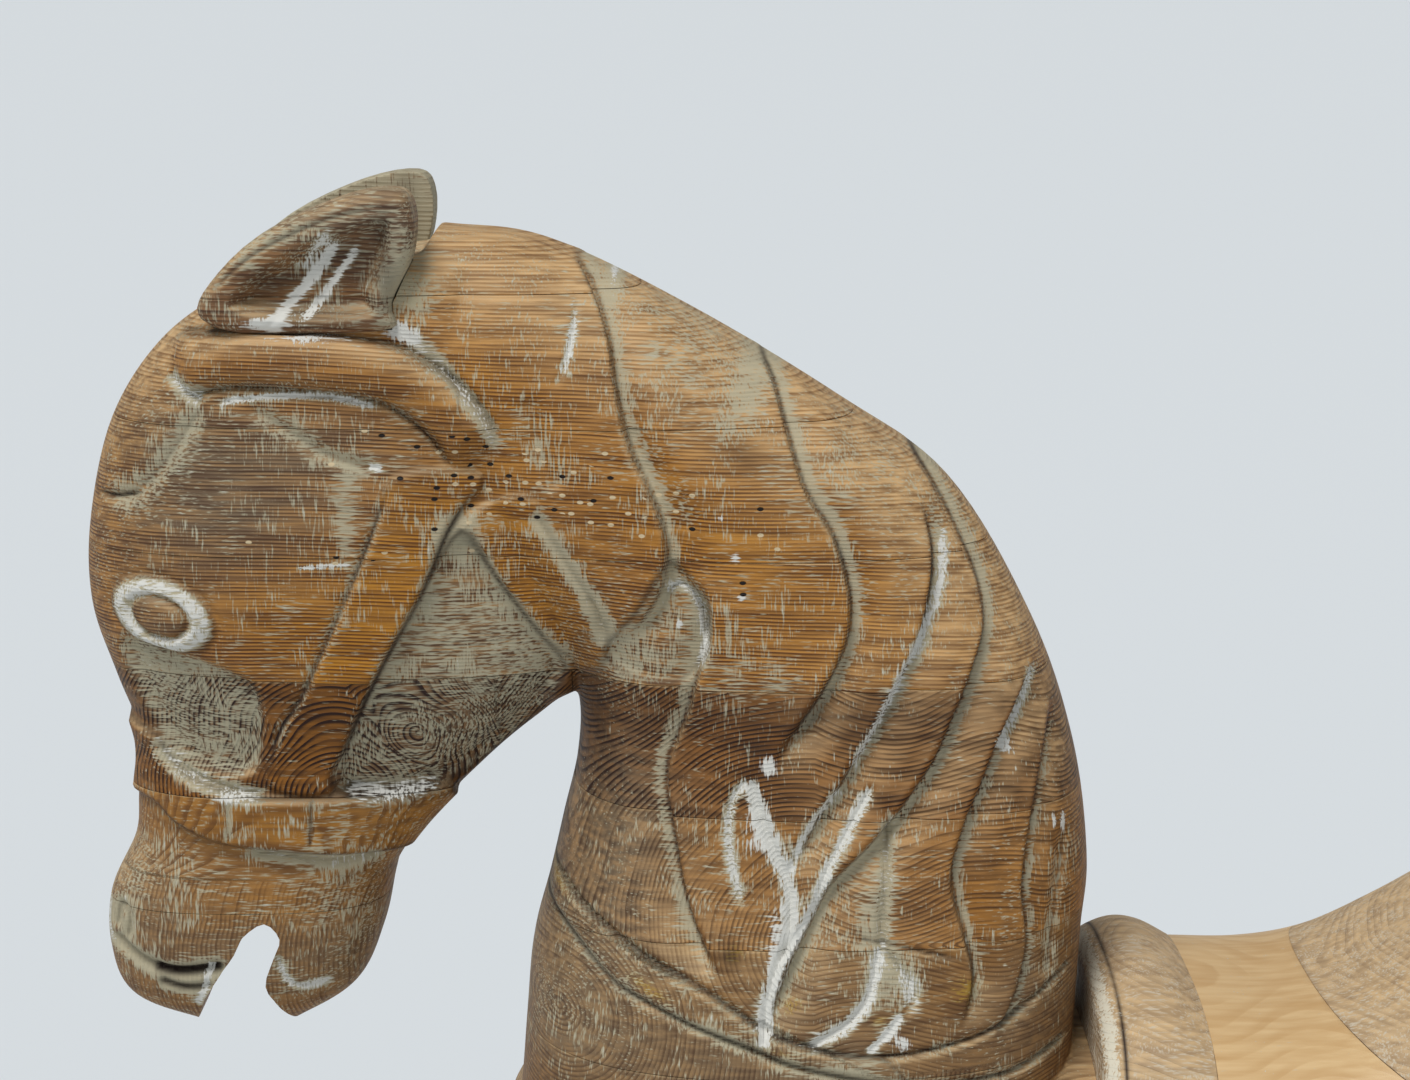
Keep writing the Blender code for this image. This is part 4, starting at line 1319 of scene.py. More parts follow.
@dataclass(frozen=True)
class PineFinish:
    """Old carved pine: rings and fibre, worn orange and grey, with lime and paint left on it,
    painted shade with dirt in its cuts, and painted top light on its upward faces.
    """

    name: str
    early: Colour = (0.47, 0.215, 0.052)
    late: Colour = (0.085, 0.028, 0.008)
    orange: Colour = (0.56, 0.235, 0.016)
    orange_late: Colour = (0.13, 0.038, 0.004)
    # pale is the colour of the painted top light on upward faces.
    pale: Colour = (0.78, 0.54, 0.28)
    grey: Colour = (0.26, 0.200, 0.125)
    grey_late: Colour = (0.100, 0.066, 0.042)
    lime: Colour = (0.47, 0.435, 0.305)
    shade_and_dirt: Colour = (0.022, 0.013, 0.010)
    # The colour of painted shade and dirt in cuts and creases.
    ochre: Colour = (0.34, 0.20, 0.035)
    paint: Colour = (0.66, 0.65, 0.60)
    frass: Colour = (0.60, 0.48, 0.30)
    hole: Colour = (0.010, 0.007, 0.006)
    spacing: float = 1.5
    wobble: float = 1.6
    contrast: float = 1.0
    # How strongly the painted top light makes upward faces paler.
    top_light_strength: float = 0.9
    all_over_grey: float = 0.10
    all_over_lime: float = 0.32
    roughness: float = 0.56
    relief: float = 0.0005

    def material(self, effects: Effects) -> bpy.types.Material:
        """Builds the material.

        Args:
            effects: The shared node groups.

        Returns:
            The material.
        """
        finish = bpy.data.materials.new(self.name)
        finish.use_nodes = True
        tree = finish.node_tree
        place = tree.nodes.new("ShaderNodeTexCoord").outputs["Object"]
        masks = {mark: attribute(tree, mark.value) for mark in Mark}
        rings = effects.place(tree, effects.rings, Place=place, Ring=attribute(tree, "ring"),
                              Spacing=self.spacing, Wobble=self.wobble)
        fibre = effects.place(tree, effects.fibre, Place=place)
        line, year = rings.outputs["Line"], rings.outputs["Year"]
        streak, cloud = fibre.outputs["Streak"], fibre.outputs["Cloud"]

        lines = maths(tree, "MULTIPLY", line, self.contrast)
        wood = blend(tree, lines, self.early, self.late)
        polished = blend(tree, lines, self.orange, self.orange_late)
        worn = blend(tree, lines, self.grey, self.grey_late)
        warmth = maths(tree, "MULTIPLY", masks[Mark.WARM], 0.9)
        warmth = maths(tree, "MULTIPLY_ADD", cloud, 0.35, warmth, clamp=True)
        colour = blend(tree, warmth, wood, polished)
        # Painted top light: upward faces are blended towards the pale colour.
        top_light_share = maths(tree, "MULTIPLY_ADD", cloud, 0.4, 0.6)
        top_light_share = maths(tree, "MULTIPLY", masks[Mark.PAINTED_TOP_LIGHT], top_light_share)
        top_light_share = maths(tree, "MULTIPLY", top_light_share, self.top_light_strength)
        top_lit_colour = blend(tree, maths(tree, "MULTIPLY", lines, 0.6), self.pale, self.early)
        colour = blend(tree, top_light_share, colour, top_lit_colour)
        bare = maths(tree, "MULTIPLY_ADD", streak, 0.5, 0.6)
        greyed = maths(tree, "ADD", masks[Mark.GREY], self.all_over_grey)
        greyed = maths(tree, "MULTIPLY", greyed, bare, clamp=True)
        colour = blend(tree, greyed, colour, worn)
        shade = maths(tree, "MULTIPLY", maths(tree, "MULTIPLY_ADD", year, 0.4, 0.6), streak)
        clouded = maths(tree, "MULTIPLY", cloud, 0.12)
        shade = maths(tree, "MULTIPLY_ADD", shade, 0.62, clouded, clamp=True)
        colour = blend(tree, shade, colour, self.late)
        ochre = effects.place(tree, effects.residue, Place=place, Line=line,
                              Mask=masks[Mark.OCHRE])
        colour = blend(tree, ochre.outputs["Amount"], colour, self.ochre)
        lime = maths(tree, "ADD", masks[Mark.LIME], self.all_over_lime)
        limed = effects.place(tree, effects.residue, Place=place, Line=line, Mask=lime)
        thin = maths(tree, "MULTIPLY", limed.outputs["Amount"], 0.80)
        colour = blend(tree, thin, colour, self.lime)
        # Painted shade in cuts, creases and hollows, with dirt, from the dark mask.
        shade_and_grime = maths(tree, "MULTIPLY_ADD", cloud, 0.4, 0.75)
        shade_and_grime = maths(tree, "MULTIPLY", masks[Mark.DARK], shade_and_grime, clamp=True)
        colour = blend(tree, shade_and_grime, colour, self.shade_and_dirt)
        paint = maths(tree, "MULTIPLY", masks[Mark.PAINT], 1.32)
        painted = effects.place(tree, effects.residue, Place=place, Line=line, Mask=paint)
        colour = blend(tree, painted.outputs["Amount"], colour, self.paint)
        worm = effects.place(tree, effects.worm, Place=place, Mask=masks[Mark.WORM])
        colour = blend(tree, worm.outputs["Halo"], colour, self.frass)
        colour = blend(tree, worm.outputs["Hole"], colour, self.hole)

        shader = tree.nodes["Principled BSDF"]
        tree.links.new(colour, shader.inputs["Base Color"])
        chalk = maths(tree, "ADD", limed.outputs["Amount"], painted.outputs["Amount"])
        rough = maths(tree, "MULTIPLY_ADD", chalk, 0.25, self.roughness, clamp=True)
        tree.links.new(rough, shader.inputs["Roughness"])
        shader.inputs["Specular IOR Level"].default_value = 0.20

        height = maths(tree, "MULTIPLY_ADD", line, 0.55, maths(tree, "MULTIPLY", streak, 0.35))
        height = maths(tree, "MULTIPLY_ADD", painted.outputs["Amount"], 0.5, height)
        height = maths(tree, "MULTIPLY_ADD", worm.outputs["Hole"], -3.0, height)
        bump = tree.nodes.new("ShaderNodeBump")
        bump.inputs["Distance"].default_value = self.relief
        bump.inputs["Strength"].default_value = 0.7
        tree.links.new(height, bump.inputs["Height"])
        tree.links.new(bump.outputs["Normal"], shader.inputs["Normal"])
        return finish


@dataclass(frozen=True)
class SteelFinish:
    """Plain steel with fine turning marks and a dull film."""

    name: str = "screw_steel"
    bright: Colour = (0.52, 0.51, 0.49)
    dull: Colour = (0.26, 0.24, 0.22)

    def material(self, effects: Effects) -> bpy.types.Material:
        """Builds the material.

        Args:
            effects: The shared node groups.

        Returns:
            The material.
        """
        finish = bpy.data.materials.new(self.name)
        finish.use_nodes = True
        tree = finish.node_tree
        place = tree.nodes.new("ShaderNodeTexCoord").outputs["Object"]
        fibre = effects.place(tree, effects.fibre, Place=place)
        film = noise(tree, place, 700.0, 3.0)
        shader = tree.nodes["Principled BSDF"]
        shader.inputs["Metallic"].default_value = 1.0
        tree.links.new(blend(tree, film, self.bright, self.dull), shader.inputs["Base Color"])
        rough = maths(tree, "MULTIPLY_ADD", fibre.outputs["Streak"], 0.25, 0.28)
        tree.links.new(rough, shader.inputs["Roughness"])
        return finish


UPPER = PineFinish("carved_pine_upper")
LOWER = PineFinish(
    "carved_pine_lower", early=(0.270, 0.105, 0.020), late=(0.022, 0.007, 0.003),
    orange=(0.300, 0.110, 0.010), orange_late=(0.026, 0.007, 0.002), grey=(0.215, 0.155, 0.095),
    grey_late=(0.036, 0.020, 0.016), spacing=1.8, wobble=2.2, contrast=1.2, all_over_lime=0.22,
)
NOSE = PineFinish(
    "carved_pine_nose", early=(0.35, 0.175, 0.056), late=(0.090, 0.036, 0.014),
    orange=(0.43, 0.185, 0.024), orange_late=(0.12, 0.040, 0.008), spacing=1.9, wobble=5.0,
    contrast=0.6, all_over_lime=0.35,
)
NECK_MIDDLE = PineFinish(
    "carved_pine_neck", early=(0.38, 0.165, 0.036), late=(0.050, 0.017, 0.006),
    orange=(0.44, 0.180, 0.016), orange_late=(0.065, 0.020, 0.004), spacing=1.8, wobble=4.0,
    contrast=0.8, all_over_lime=0.28,
)
SHOULDER = PineFinish(
    "carved_pine_shoulder", early=(0.26, 0.125, 0.034), late=(0.060, 0.023, 0.009),
    orange=(0.30, 0.130, 0.020), spacing=1.9, wobble=3.0, contrast=0.65, all_over_lime=0.24,
    all_over_grey=0.05,
)
TRUNK_PINE = PineFinish("carved_pine_trunk", all_over_grey=0.22, all_over_lime=0.34)
LEG_PINE = PineFinish("weathered_pine", all_over_grey=0.4, all_over_lime=0.36)
EAR_PINE = PineFinish(
    "ear_pine", early=(0.25, 0.130, 0.068), late=(0.050, 0.022, 0.015), spacing=1.9, contrast=0.7,
    all_over_grey=0.15, all_over_lime=0.42,
)
FADED_EAR = replace(EAR_PINE, name="faded_ear_pine", all_over_grey=0.5, all_over_lime=0.85)
SEAT_PINE = PineFinish(
    "new_pine", early=(0.66, 0.46, 0.235), late=(0.50, 0.300, 0.125), orange=(0.64, 0.42, 0.19),
    orange_late=(0.46, 0.26, 0.10), pale=(0.70, 0.52, 0.30), spacing=5.0, wobble=5.0, contrast=0.6,
    top_light_strength=0.3, all_over_grey=0.0, all_over_lime=0.0, roughness=0.42, relief=0.00015,
)
SADDLE_PINE = PineFinish(
    "limed_pine", early=(0.47, 0.35, 0.22), late=(0.27, 0.175, 0.10), orange=(0.48, 0.33, 0.18),
    orange_late=(0.30, 0.18, 0.09), spacing=2.8, contrast=0.6, all_over_grey=0.2,
    all_over_lime=0.4, paint=(0.68, 0.63, 0.50), lime=(0.58, 0.51, 0.39),
)
PLINTH_PINE = PineFinish(
    "plinth_pine", early=(0.125, 0.068, 0.034), late=(0.050, 0.022, 0.012),
    orange=(0.15, 0.075, 0.032), orange_late=(0.060, 0.024, 0.012), pale=(0.17, 0.10, 0.055),
    spacing=4.0, contrast=0.7, top_light_strength=0.3, all_over_grey=0.05, all_over_lime=0.02,
    roughness=0.42,
)
BIRCH = PineFinish(
    "dowel_birch", early=(0.58, 0.44, 0.27), late=(0.44, 0.30, 0.17), orange=(0.55, 0.40, 0.23),
    orange_late=(0.42, 0.28, 0.15), pale=(0.60, 0.46, 0.30), spacing=1.6, contrast=0.4,
    all_over_grey=0.0, all_over_lime=0.0,
)


class Workshop:
    def __init__(self) -> None:
        """Builds the shared effects and looks up each node's slot."""
        self.effects = Effects()
        self.materials: dict[str, bpy.types.Material] = {}
        self.slots = {part["node"]: part["material_slot"] for part in FRAME["record"]["subparts"]}

    def finish(self, piece: bpy.types.Object, node: str, look: PineFinish | SteelFinish,
               relief: Relief | None = None, crease: float = 48.0) -> bpy.types.Object:
        """Args:
            piece: The piece.
            node: The CAD node that it stands for.
            look: Its finish.
            relief: What marks its surface, or None where nothing does.
            crease: The angle in degrees above which an edge stays sharp.

        Returns:
            The piece.
        """
        self.measure(piece, relief or Relief())
        if look.name not in self.materials:
            self.materials[look.name] = look.material(self.effects)
        piece.data.materials.clear()
        piece.data.materials.append(self.materials[look.name])
        piece.data.shade_smooth()
        piece.data.set_sharp_from_angle(angle=math.radians(crease))
        piece.name = piece.data.name = f"{node}_seen"
        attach(piece, "root")
        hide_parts(node)
        LOG.info("%s: %d faces", piece.name, len(piece.data.polygons))
        return piece

    @staticmethod
    def measure(piece: bpy.types.Object, relief: Relief) -> None:
        """Writes the surface's ring distance and masks on a piece.

        Args:
            piece: The piece.
            relief: What marks its surface.
        """
        points = coordinates(piece.data)
        _, masks = relief.measure(points)
        # Painted top light: the more a face points up, the paler the finish paints it.
        masks[Mark.PAINTED_TOP_LIGHT] = smoothstep(0.0, 0.6, normals(piece.data)[:, 2])
        measures = {"ring": annual_rings(points)}
        measures |= {mark.value: values for mark, values in masks.items()}
        for name, values in measures.items():
            layer = piece.data.attributes.new(name, "FLOAT", "POINT")
            layer.data.foreach_set("value", values.astype(np.float32))


# ---------------------------------------------------------------- sub-assemblies


@dataclass
class HeadAndNeck:
    """The stacked boards of head and neck, with the board that runs on along the back."""

    workshop: Workshop
    relief: Relief
    voxel: float = 1.2
    quick_voxel: float = 3.0

    def carved(self) -> bpy.types.Object:
        """Draws, fuses and carves the upper half of the horse.

        Returns:
            The carved form, still in one piece.
        """
        form = loft("upper_form", [
            ridge_rings(HEAD, HEAD_SQUARENESS), ridge_rings(NECK, TRUNK_SQUARENESS),
            ridge_rings(TRUNK, TRUNK_SQUARENESS),
        ])
        trimmed = sawn(form.data, "upper_form", [Face.LOW_Z.plane(UPPER_FORM_FLOOR * MM)])
        bpy.data.objects.remove(form, do_unlink=True)
        fused(trimmed, self.voxel)
        points, outward = coordinates(trimmed.data), normals(trimmed.data)
        height, _ = self.relief.measure(points)
        aside = smoothstep(0.08, 0.42, np.abs(outward[:, 1]))
        move_to(trimmed.data, points + outward * (height * aside)[:, None])
        return trimmed

    def build(self) -> None:
        """Saws the carved form into its boards and finishes each."""
        form = self.carved()
        low_x, high_x, low_z, high_z = Face.LOW_X, Face.HIGH_X, Face.LOW_Z, Face.HIGH_Z
        part = HEAD_TO_NECK_LOW * MM
        before, behind = high_x.plane(part), low_x.plane(part)
        floor = low_z.plane(MUZZLE_FLOOR * MM)
        boards = (
            ("crown_board", (low_z,), (), UPPER),
            ("brow_board", (low_z, high_z), (), UPPER),
            ("forehead_board", (low_z, high_z), (), UPPER),
            ("eye_board", (low_z, high_z), (), UPPER),
            ("cheek_board", (low_z, high_z, high_x), (), LOWER),
            ("noseband_board", (low_z, high_z), (before,), NOSE),
            ("muzzle_board", (high_z,), (floor, before), NOSE),
            ("upper_neck_board", (low_z, high_z, low_x), (), LOWER),
            ("middle_neck_board", (low_z, high_z), (behind,), NECK_MIDDLE),
            ("collar_board", (low_z, high_z), (behind,), SHOULDER),
            ("back_board", (low_z, high_z), (low_x.plane(BACK_BOARD_FRONT * MM),), SHOULDER),
        )
        for node, faces, partings, look in boards:
            planes = [face.of(node) for face in faces] + list(partings)
            piece = sawn(form.data, node, planes)
            self.fit(piece, node)
            self.workshop.finish(piece, node, look, self.relief)
        bpy.data.objects.remove(form, do_unlink=True)

    def fit(self, piece: bpy.types.Object, node: str) -> None:
        """Cuts the mouth, the ears' ledges or the saddle's landing where a board has one.

        Args:
            piece: The board.
            node: Its CAD node.
        """
        if node in ("crown_board", "brow_board"):
            for side in (-1, 1):
                foot = side * (Ears.inner - FIT)
                minus(piece, prism("seat", grown(EAR, FIT), foot, side * FAR))
        if node == "muzzle_board":
            minus(piece, prism("mouth", flowing(MOUTH, 3, closed=True), -FAR, FAR))
        if node == "back_board":
            landing = np.array([
                (POMMEL_FRONT, SADDLE_LANDING), (SADDLE_END, SADDLE_LANDING),
                (SADDLE_END, SADDLE_CUT_TOP), (POMMEL_FRONT, SADDLE_CUT_TOP),
            ])
            minus(piece, prism("landing", landing, -FAR, FAR))


def grown(outline: Path, by: float) -> np.ndarray:
    """Moves a closed outline out all round.

    Args:
        outline: Its corners.
        by: How far, in millimetres.

    Returns:
        The moved corners.
    """
    points = np.array(outline, dtype=float)
    before, after = np.roll(points, 1, axis=0), np.roll(points, -1, axis=0)
    area = np.sum(points[:, 0] * after[:, 1] - after[:, 0] * points[:, 1])
    way = after - before
    out = np.column_stack([way[:, 1], -way[:, 0]]) * math.copysign(1.0, area)
    return points + out / np.linalg.norm(out, axis=1, keepdims=True) * by


@dataclass
class Ears:
    """Two leaf-shaped ears, hollowed on their outer faces."""

    workshop: Workshop
    inner: float = 32.0
    outer: float = 56.0
    round_edge: float = 6.0
    hollow: float = 8.0

    def relief(self) -> Relief:
        """What marks the ears: white streaks in a hollow darkened by painted shade, and filler
        behind.

        Returns:
            The ears' relief.
        """
        groove = Cut.GROOVE
        return Relief(
            strokes=(
                Stroke(groove, ((-438, 929), (-430, 938), (-422, 947), (-415, 956), (-408, 966)),
                       0.5, 2.6, lime=0.5, dark=0.0, paint=0.85),
                Stroke(groove, ((-424, 932), (-416, 942), (-408, 953), (-400, 964)),
                       0.5, 2.0, lime=0.5, dark=0.0, paint=0.75),
                Stroke(groove, ((-424, 952), (-417, 962), (-410, 971)),
                       0.4, 2.2, lime=0.4, dark=0.0, paint=0.5),
                Stroke(groove, ((-459, 944), (-440, 960), (-412, 973), (-392, 977)),
                       0.8, 2.4, lime=0.2, dark=0.6),
            ),
            # The dark patches are painted shade in the hollow, on the shelf under it and along the
            # rear edge.
            stains=(
                Stain(Mark.DARK, -404, 954, 14, 13, 0.5), Stain(Mark.DARK, -434, 947, 14, 7, 0.45),
                Stain(Mark.GREY, -430, 972, 30, 10, 0.6), Stain(Mark.GREY, -386, 960, 8, 26, 0.5),
                Stain(Mark.PAINT, -437, 932, 11, 3, 0.8), Stain(Mark.DARK, -418, 936, 26, 4, 0.5),
                Stain(Mark.DARK, -391, 962, 4, 20, 0.5), Stain(Mark.LIME, -384, 946, 8, 18, 0.8),
                Stain(Mark.OCHRE, -382, 955, 5, 10, 0.4), Stain(Mark.LIME, -440, 966, 16, 5, 0.3),
            ),
        )

    def build(self) -> None:
        """Carves each ear from a thick leaf."""
        relief = self.relief()
        outline = grown(tuple(map(tuple, flowing(EAR, 4, closed=True))), -0.2)
        for node, side in (("near_ear", -1), ("off_ear", 1)):
            ear = prism(node, outline, side * self.inner, side * self.outer)
            fused(ear, 0.8, 2)
            points = coordinates(ear.data)
            flat = points[:, [0, 2]]
            inset = inside_distance(flat, outline)
            from_edge = np.clip(self.round_edge - inset, 0, self.round_edge)
            arc = np.sqrt(np.clip(self.round_edge**2 - from_edge**2, 0, None))
            rounding = self.round_edge - arc
            bowl = smoothstep(3.5, 11.0, inside_distance(flat, self.bowl()) + 4.0)
            height, _ = relief.measure(points)
            thickness = self.outer - self.inner
            share = np.clip((np.abs(points[:, 1]) - self.inner) / thickness, 0.0, 1.0)
            outer_face = smoothstep(0.7, 1.0, share)
            drop = rounding * share + (self.hollow * bowl - height) * outer_face
            points[:, 1] = side * (np.abs(points[:, 1]) - drop)
            move_to(ear.data, points)
            self.workshop.finish(ear, node, EAR_PINE if side < 0 else FADED_EAR, relief)

    @staticmethod
    def bowl() -> np.ndarray:
        """The outline of the hollow in an ear's outer face."""
        return flowing(((-452, 939), (-436, 956), (-410, 969), (-390, 974), (-388, 962),
                        (-394, 944), (-396, 935), (-425, 933)), 3, closed=True)


@dataclass
class Body:
    """The barrel: blocks at both ends, boards along the flanks and the belly board."""

    workshop: Workshop
    relief: Relief
    form: bpy.types.Object

    def build(self) -> None:
        """Saws the lower form into the body's boards and blocks."""
        low_x, high_x, low_y, high_y = Face.LOW_X, Face.HIGH_X, Face.LOW_Y, Face.HIGH_Y
        low_z, high_z = Face.LOW_Z, Face.HIGH_Z
        under = low_z.plane(LOWER_FORM_FLOOR * MM)
        parts = (
            ("chest_block", (low_z, high_z, high_x), ()),
            ("rump_block", (low_z, high_z, low_x), ()),
            ("near_flank_board", (low_z, high_z, low_x, high_x, high_y), ()),
            ("off_flank_board", (low_z, high_z, low_x, high_x, low_y), ()),
            ("belly_board", (high_z, low_x, high_x), (under,)),
        )
        for node, faces, extra in parts:
            piece = sawn(self.form.data, node, [face.of(node) for face in faces] + list(extra))
            if node in ("chest_block", "rump_block"):
                Fixings.bore_legs(piece, node)
            if node == "rump_block":
                minus(piece, Tail.mortise())
            self.workshop.finish(piece, node, TRUNK_PINE, self.relief)


def hoof_lean(leg: str, z: float) -> float:
    """How far a leg leans along X at a height, in millimetres.

    Args:
        leg: The leg's name.
        z: The height.

    Returns:
        The offset towards the hoof's place.
    """
    return STANCE[leg] * max(0.0, BELLY_LINE - z) / (BELLY_LINE - PLINTH_TOP)


@dataclass
class Legs:
    """Four legs, each sawn at the knee or hock."""

    workshop: Workshop
    relief: Relief
    form: bpy.types.Object
    past_sole: float = 8.0

    @classmethod
    def mass(cls, leg: str) -> np.ndarray:
        """The rings of one leg, carried a little past the hoof's sole.

        Args:
            leg: The leg's name.

        Returns:
            Points in millimetres, as rings by sides by three.
        """
        rows = flowing(FORE_LEG if "fore" in leg else HIND_LEG, 8)
        sole = rows[-1].copy()
        sole[2] -= cls.past_sole
        rows = np.vstack([rows, sole])
        rows[:, 0] += [hoof_lean(leg, z) for z in rows[:, 2]]
        rows[:, 1] *= -1.0 if leg.startswith("near") else 1.0
        return upright_rings(rows, LEG_SQUARENESS)

    def build(self) -> None:
        """Saws the legs off the lower form and finishes both halves of each."""
        for leg in STANCE:
            across = Face.HIGH_Y if leg.startswith("near") else Face.LOW_Y
            along = (Face.HIGH_X.plane(CHEST_TO_FLANK * MM) if "fore" in leg
                     else Face.LOW_X.plane(FLANK_TO_RUMP * MM))
            for half in ("upper", "lower"):
                node = f"{leg}_{half}_leg"
                planes = [Face.LOW_Z.of(node), Face.HIGH_Z.of(node), across.plane(0.0), along]
                piece = sawn(self.form.data, node, planes)
                Fixings.bore_leg(piece, leg, half)
                look = TRUNK_PINE if half == "upper" else LEG_PINE
                self.workshop.finish(piece, node, look, self.relief)


def lower_form(voxel: float = 2.2) -> bpy.types.Object:
    """Draws and fuses the trunk, the neck's root and the legs, with their carved hoofs and knees.

    Args:
        voxel: The size of the faces, in millimetres.

    Returns:
        The carved form.
    """
    masses = [ridge_rings(TRUNK, TRUNK_SQUARENESS), ridge_rings(NECK_ROOT, TRUNK_SQUARENESS)]
    masses += [Legs.mass(leg) for leg in STANCE]
    form = fused(loft("lower_form", masses), voxel, 3)
    points, outward = coordinates(form.data), normals(form.data)
    z = points[:, 2]
    height = np.zeros(len(points))
    for level, depth, half in LEG_LINES:
        height -= depth * np.exp(-((z - level) / half)**2)
    below = smoothstep(BELLY_LINE + 10.0, BELLY_LINE - 40.0, z)
    tendon = np.exp(-((z - 165.0) / 50.0)**2) * smoothstep(0.75, 1.0, np.abs(outward[:, 1]))
    height = height * below - 1.8 * tendon * below
    muscle = np.sin(points[:, 0] / 23.0 + z / 31.0) * np.exp(-((z - 500.0) / 60.0)**2)
    height += 0.8 * muscle * smoothstep(150.0, 260.0, np.abs(points[:, 0]))
    move_to(form.data, points + outward * height[:, None])
    return form


@dataclass
class Tail:
    """The carved tail with its round tenon, and the hair cut into it."""

    workshop: Workshop
    locks: int = 9
    depth: float = 1.8
    sides: int = 144
    per_span: int = 18
    sections: Rows = (
        (318, 588, TENON_RADIUS, TENON_RADIUS), (372, 596, TENON_RADIUS, TENON_RADIUS),
        (392, 594, 21, 24), (412, 576, 24, 30),
        (420, 540, 23.4, 34), (420.5, 490, 23, 36), (417, 430, 24, 37), (412, 370, 23, 36),
        (413, 310, 22, 33), (420, 255, 19, 28), (430, 210, 14, 20), (436, 178, 7, 10),
    )

    @staticmethod
    def frame(rows: np.ndarray) -> np.ndarray:
        """The unit vectors across a path, in the plane of X and Z.

        Args:
            rows: The path's rows, which start with x and z.

        Returns:
            One vector for each row.
        """
        run = np.gradient(rows[:, :2], axis=0)
        run /= np.linalg.norm(run, axis=1, keepdims=True)
        return np.column_stack([-run[:, 1], run[:, 0]])

    @staticmethod
    def mortise() -> bpy.types.Object:
        """The hole for the tenon, grown by the fit."""
        bore = TENON_RADIUS + FIT
        rows = np.array([(311.3, 587.0, bore, bore), (426.0, 604.0, bore, bore)])
        return loft("mortise", [Tail.rings(rows, np.zeros((len(rows), BORE_SIDES)))])

    @staticmethod
    def rings(rows: np.ndarray, cut: np.ndarray) -> np.ndarray:
        """Round rings square to a path, drawn in by a cut.

        Args:
            rows: Centre x, z, half thickness and half width.
            cut: How much each point is drawn in, as rows by sides.

        Returns:
            Points in millimetres, as rings by sides by three.
        """
        up, across = unit_ring(cut.shape[1], 2.0)
        out = Tail.frame(rows)
        lift = up * (rows[:, 2][:, None] - cut)
        x = rows[:, 0][:, None] + out[:, 0][:, None] * lift
        y = across * (rows[:, 3][:, None] - cut)
        z = rows[:, 1][:, None] + out[:, 1][:, None] * lift
        return np.stack([x, y, z], axis=2)

    def build(self) -> None:
        """Lofts the tail with twisting locks and finishes it."""
        tenon = np.linspace(self.sections[0], self.sections[1], 8)
        hair = flowing(self.sections[1:], self.per_span)[1:]
        rows = np.vstack([tenon, hair])
        along = np.linspace(0.0, 1.0, len(rows))[:, None]
        angle = (math.tau * (np.arange(self.sides) + 0.5) / self.sides)[None, :]
        twist = angle * self.locks + 5.0 * np.sin(along * 5.0)
        valley = 1.0 - np.abs(np.sin(twist / 2))**0.5
        fine = 0.25 * (1.0 - np.abs(np.sin(twist * 2.0 + 1.0)))
        grows = smoothstep(0.12, 0.25, along) * np.clip(rows[:, 2][:, None] / 24.0, 0.2, 1.0)
        tail = loft("tail", [self.rings(rows, (valley + fine) * self.depth * grows)])
        self.workshop.finish(tail, "tail", TRUNK_PINE, crease=60.0)


@dataclass
class Saddle:
    """The pommel roll, the pale new seat and the grey cantle that rises behind it."""

    workshop: Workshop
    seam: tuple[tuple[float, float], tuple[float, float]] = ((-30.0, 660.0), (60.0, 606.0))
    gap: float = 0.15
    top: Rows = (
        (-66, 650, 91), (-30, 649, 94), (0, 655, 97), (30, 672, 99), (60, 693, 98),
        (85, 708, 93), (103, 712, 84), (113, 706, 76),
    )
    roll: Rows = ((-110, 640, 74), (-106, 654, 80), (-92, 662, 84), (-78, 660, 88), (-62, 650, 91))
    sides: int = 160
    sunk: float = 4.0

    def rings(self, rows: Rows, per_span: int) -> np.ndarray:
        """Upright rings across the saddle, whose lower halves lie below the landing.

        Args:
            rows: X, the top and half the width.
            per_span: How many rings each span becomes.

        Returns:
            Points in millimetres, as rings by sides by three.
        """
        table = flowing(rows, per_span)
        up, across = unit_ring(self.sides, SADDLE_SQUARENESS)
        middle = SADDLE_LANDING - self.sunk
        x = np.repeat(table[:, 0][:, None], self.sides, axis=1)
        y = table[:, 2][:, None] * across
        z = middle + up * (table[:, 1][:, None] - middle)
        return np.stack([x, y, z], axis=2)

    def build(self) -> None:
        """Lofts the roll and the seat, saws them at their joints and finishes them."""
        floor = Face.LOW_Z
        (ax, az), (bx, bz) = self.seam
        slope = Vector((-(bz - az), 0.0, bx - ax)).normalized()
        middle = Vector((ax, 0.0, az)) * MM
        below = (middle - slope * self.gap * MM, slope)
        above = (middle + slope * self.gap * MM, -slope)

        top = loft("top", [self.rings(self.top, 10)])
        roll = loft("roll", [self.rings(self.roll, 12)])
        seat = sawn(top.data, "seat", [floor.of("seat"), Face.LOW_X.of("seat"), below])
        cantle = sawn(top.data, "cantle", [floor.of("cantle"), Face.HIGH_X.of("cantle"), above])
        pommel = sawn(roll.data, "pommel",
                      [floor.of("pommel"), Face.LOW_X.of("pommel"), Face.HIGH_X.of("pommel")])
        for old in (top, roll):
            bpy.data.objects.remove(old, do_unlink=True)
        levels = (620.0, 650.0)
        border = Relief(stains=(
            *(Stain(Mark.PAINT, -105.0, z, 3.4, 30.0, 0.6) for z in levels),
            *(Stain(Mark.DARK, -99.5, z, 0.8, 30.0, 0.9) for z in levels),
        ))
        self.workshop.finish(pommel, "pommel", SADDLE_PINE, border)
        self.workshop.finish(seat, "seat", SEAT_PINE)
        self.workshop.finish(cantle, "cantle", SADDLE_PINE)


